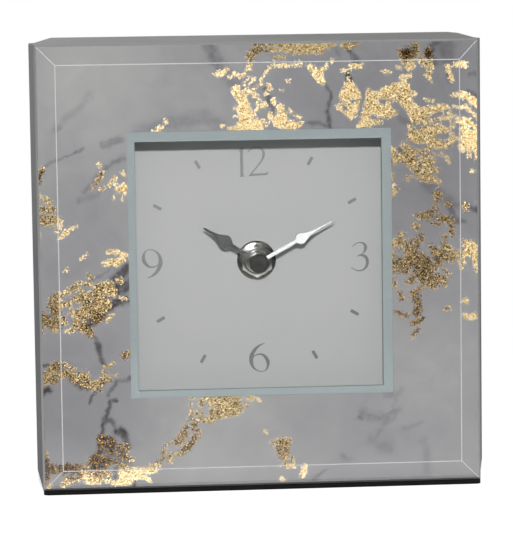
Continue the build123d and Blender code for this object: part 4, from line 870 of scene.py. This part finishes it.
bm = bmesh.new()
for hour in dial["barHours"]:
    bar = bmesh.ops.create_grid(bm, x_segments=1, y_segments=1, size=0.5)["verts"]
    bmesh.ops.scale(bm, vec=(dial["barWidth"] * mm, dial["barLength"] * mm, 1), verts=bar)
    bmesh.ops.bevel(bm, geom=bar, offset=dial["barCorner"] * mm, affect="VERTICES", segments=2, profile=0.5,
                    material=-1)
    barVerts = [v for v in bm.verts if abs(v.co.z) < near and v.co.length < dial["barLength"] * mm]
    hourDegrees = hour * 360 / 12
    barPlace = dialMatrix(hourDegrees, dial["barRing"]) @ Matrix.Rotation(-math.radians(hourDegrees), 4, "Z")
    bmesh.ops.transform(bm, matrix=barPlace, verts=barVerts)
raised = vertsOf(bmesh.ops.extrude_face_region(bm, geom=bm.faces[:]))
bmesh.ops.translate(bm, vec=(0, -dial["inkDepth"] * mm, 0), verts=raised)
bmesh.ops.recalc_face_normals(bm, faces=bm.faces)
newPiece("hourBars", bm, [silverInk], "case")
print("dial figures and bars laid")


# printed pane: a grey stone print behind polished glass, so long soft clouds under a thin even gloss
pane = {"cloud": 9, "cloudShare": 0.9, "cloudShift": -0.45, "roughness": 0.6, "coat": 0.12,
        "topStretch": (0.3, 1, 1), "topSpan": (-75, 30), "topColours": ("b6b6b6", "9c9a9a"),
        "sideStretch": (1, 1, 0.3), "sideSpan": (0, 150), "sideShadeColours": ("747476", "a3a3a5")}


# the colour runs from the first colour to the second along one axis, over a span in millimetres
def printedPane(name, axis, stretch, span, colours):
    material, tree, shader = newMaterial(name, {"Roughness": pane["roughness"], "Specular IOR Level": 0.0,
                                                "Coat Weight": pane["coat"]})
    place = addNode(tree, "ShaderNodeTexCoord")
    placeAxes = addNode(tree, "ShaderNodeSeparateXYZ", {}, {"Vector": place.outputs["Object"]})
    drawn = addNode(tree, "ShaderNodeMapping", {"Scale": stretch}, {"Vector": place.outputs["Object"]})
    drifts = addNode(tree, "ShaderNodeTexNoise",
                     {"Scale": 1 / (pane["cloud"] * mm), "Detail": 6.0, "Roughness": 0.55},
                     {"Vector": drawn.outputs["Vector"]})
    along = addNode(tree, "ShaderNodeMapRange", {"From Min": span[0] * mm, "From Max": span[1] * mm},
                    {"Value": placeAxes.outputs[axis]})
    shifted = addNode(tree, "ShaderNodeMath",
                      {"operation": "MULTIPLY_ADD", 1: pane["cloudShare"], 2: pane["cloudShift"]},
                      {0: drifts.outputs["Fac"]})
    share = addNode(tree, "ShaderNodeMath", {"operation": "ADD"},
                    {0: along.outputs["Result"], 1: shifted.outputs["Value"]})
    tone = addNode(tree, "ShaderNodeValToRGB", {"stops": [(0.0, colours[0]), (1.0, colours[1])]},
                   {"Fac": share.outputs["Value"]})
    tree.links.new(tone.outputs["Color"], shader.inputs["Base Color"])
    return material


topPane = printedPane("greyPrintedTopPane", "X", pane["topStretch"], pane["topSpan"], pane["topColours"])
dress(topPane, "top_glass")
# the side panes run darker towards the bottom: painted shade of light from above
sidePane = printedPane("greyPrintedSidePane", "Z", pane["sideStretch"], pane["sideSpan"], pane["sideShadeColours"])
dress(sidePane, "left_glass", "right_glass")
print("panes printed")

# sawn fibreboard: a dull warm brown with a furry grain
fibreboard = grainedMaterial("sawnFibreboard", 0.7, 0.15, "8c6c49", "a07f58", {"Roughness": 0.9})
dress(fibreboard, "carcass_left", "carcass_right", "carcass_base", "carcass_top")
# emulsion paint: a soft pale blue-grey without shine
spacerPaint = grainedMaterial("paleEmulsionPaint", 0.6, 0.02, "9ba5a7", "a1abad", {"Roughness": 0.7})
dress(spacerPaint, "spacer_bottom", "spacer_top", "spacer_left", "spacer_right")
# matt lacquer: an even light grey, so that shadows on the dial are clear
dialPaint = grainedMaterial("mattDialLacquer", 0.35, 0.004, "bbbbbb", "bebebe", {"Roughness": 0.6})
dress(dialPaint, "dial_plate")
# foam rubber: a deep black that gives back almost no light
padFoam = grainedMaterial("foamRubber", 0.5, 0.1, "0c0c0c", "191919",
                          {"Roughness": 0.95, "Specular IOR Level": 0.2})
dress(padFoam, "base_pad")
# painted hardboard: flat black with a faint fibre
panelPaint = grainedMaterial("blackPaintedHardboard", 0.8, 0.06, "111112", "1b1b1c", {"Roughness": 0.7})
dress(panelPaint, "back_panel")
# zinc plate: a cool half-bright grey
zincSteel = grainedMaterial("zincPlatedSteel", 0.3, 0.01, "a3a4a6", "bcbdbf",
                            {"Roughness": 0.35, "Metallic": 1.0})
dress(zincSteel, "panel_screws")
# moulded ABS: black with the fine spark-eroded texture of its mould
mouldedAbs = grainedMaterial("mouldedBlackAbs", 0.35, 0.03, "101011", "1a1a1b", {"Roughness": 0.55})
dress(mouldedAbs, "movement_housing", "movement_cover", "setting_knob")
# turned brass: yellow, with streaks round the piece from the tool
turnedBrass = grainedMaterial("turnedBrass", 0.5, 0.008, "b99a58", "d0b272",
                              {"Roughness": 0.3, "Metallic": 1.0}, (1, 8, 1))
dress(turnedBrass, "minute_arbor", "hour_wheel")
# gasket rubber: dull black
gasketRubber = grainedMaterial("gasketRubber", 0.6, 0.04, "101010", "1c1c1c", {"Roughness": 0.9})
dress(gasketRubber, "rubber_gasket")
# moulded acetal: milky and waxy, as small clock wheels are
acetal = grainedMaterial("naturalAcetal", 0.5, 0.01, "d9d4c6", "e6e1d4", {"Roughness": 0.45})
dress(acetal, "centre_wheel", "minute_wheel", "second_wheel", "third_wheel", "intermediate_wheel",
      "rotor_pinion", "coil_bobbin")
# stamped soft iron: plain grey with a half-dull skin
motorIron = grainedMaterial("stampedSoftIron", 0.4, 0.01, "77797c", "8f9194",
                            {"Roughness": 0.45, "Metallic": 1.0})
dress(motorIron, "stator", "coil_core", "rotor_magnet")
# enamelled copper wire: red-brown turns, drawn thicker than the real wire so that they show
windingCopper = grainedMaterial("enamelledCopperWire", 0.12, 0.05, "8f4a22", "c5763f",
                                {"Roughness": 0.35, "Metallic": 1.0}, (0.1, 0.1, 1))
dress(windingCopper, "coil_winding")
# solder mask: a smooth green lacquer with a soft gloss
solderMask = grainedMaterial("greenSolderMask", 0.7, 0.005, "1b5a30", "22683a", {"Roughness": 0.4})
dress(solderMask, "circuit_board")
# potting resin: a smooth black drop with a soft shine
chipResin = grainedMaterial("blackPottingResin", 1.2, 0.01, "0d0d0e", "161617", {"Roughness": 0.25})
dress(chipResin, "chip_cover")
# tinned spring steel: pale and bright
tinnedSteel = grainedMaterial("tinnedSpringSteel", 0.4, 0.006, "aeaeaa", "c6c6c2",
                              {"Roughness": 0.3, "Metallic": 1.0})
dress(tinnedSteel, "contact_positive", "contact_negative", "quartz_crystal")
# printed film: the plain dark grey sleeve of a cell
cellFilm = grainedMaterial("plainCellFilm", 0.8, 0.004, "474b50", "52565b", {"Roughness": 0.35})
dress(cellFilm, "battery_cell")
print("finishes given to the CAD pieces")


# nut and bush: nickel plate polished almost to a mirror, so their edges draw lines of light
rolledEdge = {"segments": 4, "flatWithin": 1, "sharpFrom": 24, "nutRoll": 0.4, "nutInner": 4.3,
              "bushRoll": 0.35, "bushInner": 3.6}
polishedNickel = grainedMaterial("polishedNickelPlate", 0.8, 0.002, "c9c6c2", "dcdad6",
                                 {"Roughness": 0.1, "Metallic": 1.0})


# a copy of a turned CAD piece with its foremost outer edge rolled
def rolledCopy(name, node, material, edgeRoll, inner):
    bm = bmesh.new()
    bm.from_mesh(nodes[node].data)
    bmesh.ops.remove_doubles(bm, verts=bm.verts, dist=near)
    bmesh.ops.dissolve_limit(bm, angle_limit=math.radians(rolledEdge["flatWithin"]), verts=bm.verts,
                             edges=bm.edges)
    foremost = min(v.co.y for v in bm.verts)
    rolled = [edge for edge in bm.edges if all(abs(v.co.y - foremost) < near for v in edge.verts)
              and all(math.hypot(v.co.x, v.co.z - axleHeight) > inner * mm for v in edge.verts)]
    bmesh.ops.bevel(bm, geom=rolled, offset=edgeRoll * mm, affect="EDGES", segments=rolledEdge["segments"],
                    profile=0.5, material=-1)
    bmesh.ops.recalc_face_normals(bm, faces=bm.faces)
    piece = newPiece(name, bm, [material], "case")
    smoothShading(piece, rolledEdge["sharpFrom"])
    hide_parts(node)


rolledCopy("hexNut", "hex_nut", polishedNickel, rolledEdge["nutRoll"], rolledEdge["nutInner"])
rolledCopy("bushEnd", "threaded_bush", polishedNickel, rolledEdge["bushRoll"],
           rolledEdge["bushInner"])

# washer: a turned nickel dome of (radius, depth), whose sloping rim gives the hub its bright patch
dome = {"steps": 96, "sharpFrom": 40,
        "profile": [(4.06, 0.5), (4.06, -0.3), (5.0, -0.3), (5.4, -0.26), (5.8, -0.19), (6.2, -0.1),
                    (6.5, 0.0), (6.65, 0.13), (6.7, 0.3), (6.7, 0.5)]}
# the washer's nickel is coloured darker than nickel is: painted shade, so the lower half of the dome, which
# mirrors the pale floor, still looks dark
shadedWasherNickel = grainedMaterial("nickelPlateDarkenedAsShade", 0.8, 0.003, "65615c", "7c7873",
                               {"Roughness": 0.2, "Metallic": 1.0})
bm = bmesh.new()
ring = [bm.verts.new((radius * mm, depth * mm, axleHeight)) for radius, depth in dome["profile"]]
sides = [bm.edges.new((first, second)) for first, second in zip(ring, ring[1:] + ring[:1])]
bmesh.ops.spin(bm, geom=ring + sides, cent=(0, 0, axleHeight), axis=(0, 1, 0), angle=2 * math.pi,
               steps=dome["steps"], use_merge=True)
bmesh.ops.remove_doubles(bm, verts=bm.verts, dist=touching)
bmesh.ops.recalc_face_normals(bm, faces=bm.faces)
domedWasher = newPiece("domedWasher", bm, [shadedWasherNickel], "case")
smoothShading(domedWasher, dome["sharpFrom"])
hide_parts("dial_washer")

# cap nut: bright nickel turned in a lathe, whose fine rings show on its flat end
cap = {"edge": 0.18, "edgeSteps": 3, "wall": 0.8, "bore": 2.64, "ringPitch": 0.55, "steps": 96,
       "sharpFrom": 15, "ringsPerUnit": 20, "smoothRough": 0.07, "ringRough": 0.12,
       "stops": [(0.0, "a9a8a5"), (1.0, "bebdba")]}
turnedNickel, tree, shader = newMaterial("turnedNickelPlate", {"Metallic": 1.0})
place = addNode(tree, "ShaderNodeTexCoord")
onAxis = addNode(tree, "ShaderNodeMapping", {"Location": (0, 0, -axleHeight)},
                 {"Vector": place.outputs["Object"]})
rings = addNode(tree, "ShaderNodeTexWave",
                {"wave_type": "RINGS", "rings_direction": "Y", "Distortion": 1.2, "Detail": 2.0,
                 "Scale": 1 / (cap["ringPitch"] * mm) / cap["ringsPerUnit"]},
                {"Vector": onAxis.outputs["Vector"]})
ringTone = addNode(tree, "ShaderNodeValToRGB", {"stops": cap["stops"]}, {"Fac": rings.outputs["Fac"]})
ringRough = addNode(tree, "ShaderNodeMapRange", {"To Min": cap["smoothRough"], "To Max": cap["ringRough"]},
                    {"Value": rings.outputs["Fac"]})
tree.links.new(ringTone.outputs["Color"], shader.inputs["Base Color"])
tree.links.new(ringRough.outputs["Result"], shader.inputs["Roughness"])
capLow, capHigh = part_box("cap_nut")
capRadius = (capHigh.x - capLow.x) / 2
bm = bmesh.new()
bmesh.ops.create_circle(bm, cap_ends=True, segments=cap["steps"], radius=capRadius)
bmesh.ops.rotate(bm, cent=(0, 0, 0), matrix=upright, verts=bm.verts)
bmesh.ops.translate(bm, vec=(0, capHigh.y, axleHeight), verts=bm.verts)
ends = vertsOf(bmesh.ops.extrude_face_region(bm, geom=bm.faces[:], use_keep_orig=True))
bmesh.ops.translate(bm, vec=(0, capLow.y - capHigh.y, 0), verts=ends)
frontRim = [edge for edge in bm.edges if all(abs(v.co.y - capLow.y) < near for v in edge.verts)]
bmesh.ops.bevel(bm, geom=frontRim, offset=cap["edge"] * mm, affect="EDGES", segments=cap["edgeSteps"],
                profile=0.5, material=-1)
rear = max(bm.faces, key=lambda face: face.calc_center_median().y)
bmesh.ops.inset_region(bm, faces=[rear], thickness=capRadius - cap["bore"] * mm / 2, use_even_offset=True)
socket = bmesh.ops.extrude_face_region(bm, geom=[rear])
bmesh.ops.delete(bm, geom=[rear], context="FACES_ONLY")
bmesh.ops.translate(bm, vec=(0, capLow.y + cap["wall"] * mm - capHigh.y, 0), verts=vertsOf(socket))
bmesh.ops.recalc_face_normals(bm, faces=bm.faces)
turnedCap = newPiece("turnedCap", bm, [turnedNickel], "minute")
smoothShading(turnedCap, cap["sharpFrom"])
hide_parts("cap_nut")
print("nut, bush, washer and cap turned")


# hands stamped to a spade from sheet, each side as (distance from the axle, half width)
hands = {"roll": 0.1, "rollSteps": 2, "bladeThick": 0.45, "collarSink": 0.2, "collarLeast": 0.1,
         "arcSteps": 48, "scratch": 0.9, "scratchStretch": (9.0, 1.0, 0.6), "darkFrom": 0.35,
         "lightFrom": 0.65, "hourTurn": 303.2, "hourBore": 5.3, "minuteTurn": 61.5, "minuteBore": 2.64}
hourSpade = [(10.5, 0.68), (10.85, 0.85), (11.3, 1.35), (11.9, 1.87), (12.6, 2.22), (13.3, 2.32),
             (14.0, 2.17), (14.8, 1.76), (15.6, 1.36), (16.5, 1.0), (17.4, 0.77), (19.2, 0.5), (22.0, 0.33)]
minuteSpade = [(14.6, 0.67), (15.0, 0.95), (15.4, 1.5), (15.9, 1.82), (16.5, 1.98), (17.1, 1.9), (17.9, 1.62),
               (18.8, 1.22), (19.7, 0.88), (20.8, 0.62), (22.4, 0.38), (24.3, 0.3), (29.3, 0.27)]


# sheet steel brushed along its length, so each hand shines or darkens with its own direction
def brushedHand(name, degrees, darker, lighter, sockets):
    material, tree, shader = newMaterial(name, sockets)
    angle = math.radians(degrees)
    place = addNode(tree, "ShaderNodeTexCoord")
    lay = addNode(tree, "ShaderNodeMapping", {"Rotation": (0, angle, 0), "Scale": hands["scratchStretch"]},
                  {"Vector": place.outputs["Object"]})
    scratch = addNode(tree, "ShaderNodeTexNoise", {"Scale": 1 / (hands["scratch"] * mm), "Detail": 3.0},
                      {"Vector": lay.outputs["Vector"]})
    tone = addNode(tree, "ShaderNodeValToRGB",
                   {"stops": [(hands["darkFrom"], darker), (hands["lightFrom"], lighter)]},
                   {"Fac": scratch.outputs["Fac"]})
    crossways = addNode(tree, "ShaderNodeCombineXYZ", {"X": math.cos(angle), "Z": -math.sin(angle)})
    inRoom = addNode(tree, "ShaderNodeVectorTransform",
                     {"vector_type": "VECTOR", "convert_from": "OBJECT", "convert_to": "WORLD"},
                     {"Vector": crossways.outputs["Vector"]})
    tree.links.new(tone.outputs["Color"], shader.inputs["Base Color"])
    tree.links.new(inRoom.outputs["Vector"], shader.inputs["Tangent"])
    return material


# a ring of points about the axle, open towards the blade where a gap is given
def arcPoints(radius, gap=0.0):
    turns = [gap + (2 * math.pi - 2 * gap) * step / hands["arcSteps"] for step in range(hands["arcSteps"])]
    return [(radius * math.sin(turn), radius * math.cos(turn)) for turn in turns]


# fills closed outlines about the axle between two depths and rolls their edges over
def fillOutlines(bm, outlines, front, rear, degrees):
    edgeRoll = hands["roll"] * mm
    curve = flatCurve("sheet")
    curve.extrude = (rear - front) / 2 - edgeRoll
    curve.bevel_depth = edgeRoll
    curve.bevel_resolution = hands["rollSteps"]
    curve.offset = -edgeRoll
    for outline in outlines:
        spline = curve.splines.new("POLY")
        spline.use_cyclic_u = True
        spline.points.add(len(outline) - 1)
        for point, (x, up) in zip(spline.points, outline):
            point.co = (x * mm, up * mm, 0, 1)
    mesh = meshOfCurve(curve)
    turned = Matrix.Rotation(math.radians(degrees), 4, "Y") @ upright.to_4x4()
    mesh.transform(Matrix.Translation((0, (front + rear) / 2, axleHeight)) @ turned)
    bm.from_mesh(mesh)


def stampedHand(name, node, body, material, spade, degrees, bore):
    low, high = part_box(node)
    hub = min(high.x, -low.x) / mm  # the side without the blade reaches only as far as the hub
    stem = spade[0][1]
    gap = math.asin(stem / hub)
    right = [(half, along) for along, half in spade]
    left = [(-half, along) for along, half in reversed(spade)]
    around = arcPoints(hub, gap)[::-1]
    outline = right + left + [(-stem, hub * math.cos(gap))] + around
    bm = bmesh.new()
    bladeRear = low.y + hands["bladeThick"] * mm
    fillOutlines(bm, [outline, arcPoints(bore / 2)], low.y, bladeRear, degrees)
    if high.y > bladeRear + hands["collarLeast"] * mm:
        collarFront = low.y + hands["collarSink"] * mm
        fillOutlines(bm, [arcPoints(hub), arcPoints(bore / 2)], collarFront, high.y, degrees)
    bmesh.ops.remove_doubles(bm, verts=bm.verts, dist=touching)
    bmesh.ops.recalc_face_normals(bm, faces=bm.faces)
    piece = newPiece(name, bm, [material], body)
    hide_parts(node)


# polished steel: smooth enough to mirror the dim room, so the hour hand looks dark
polishedSteel = brushedHand("polishedSteelHourHand", hands["hourTurn"], "9a9a9c", "acacae",
                            {"Metallic": 1.0, "Roughness": 0.17})
stampedHand("hourHand", "hour_hand", "hour", polishedSteel, hourSpade, hands["hourTurn"], hands["hourBore"])
# brushed steel: its scratches spread the lamp's light, so the minute hand looks white
brushedSteel = brushedHand("brushedSteelMinuteHand", hands["minuteTurn"], "707070", "8c8c8c",
                           {"Metallic": 1.0, "Roughness": 0.4, "Anisotropic": 0.8})
stampedHand("minuteHand", "minute_hand", "minute", brushedSteel, minuteSpade, hands["minuteTurn"],
            hands["minuteBore"])
print("hands stamped")
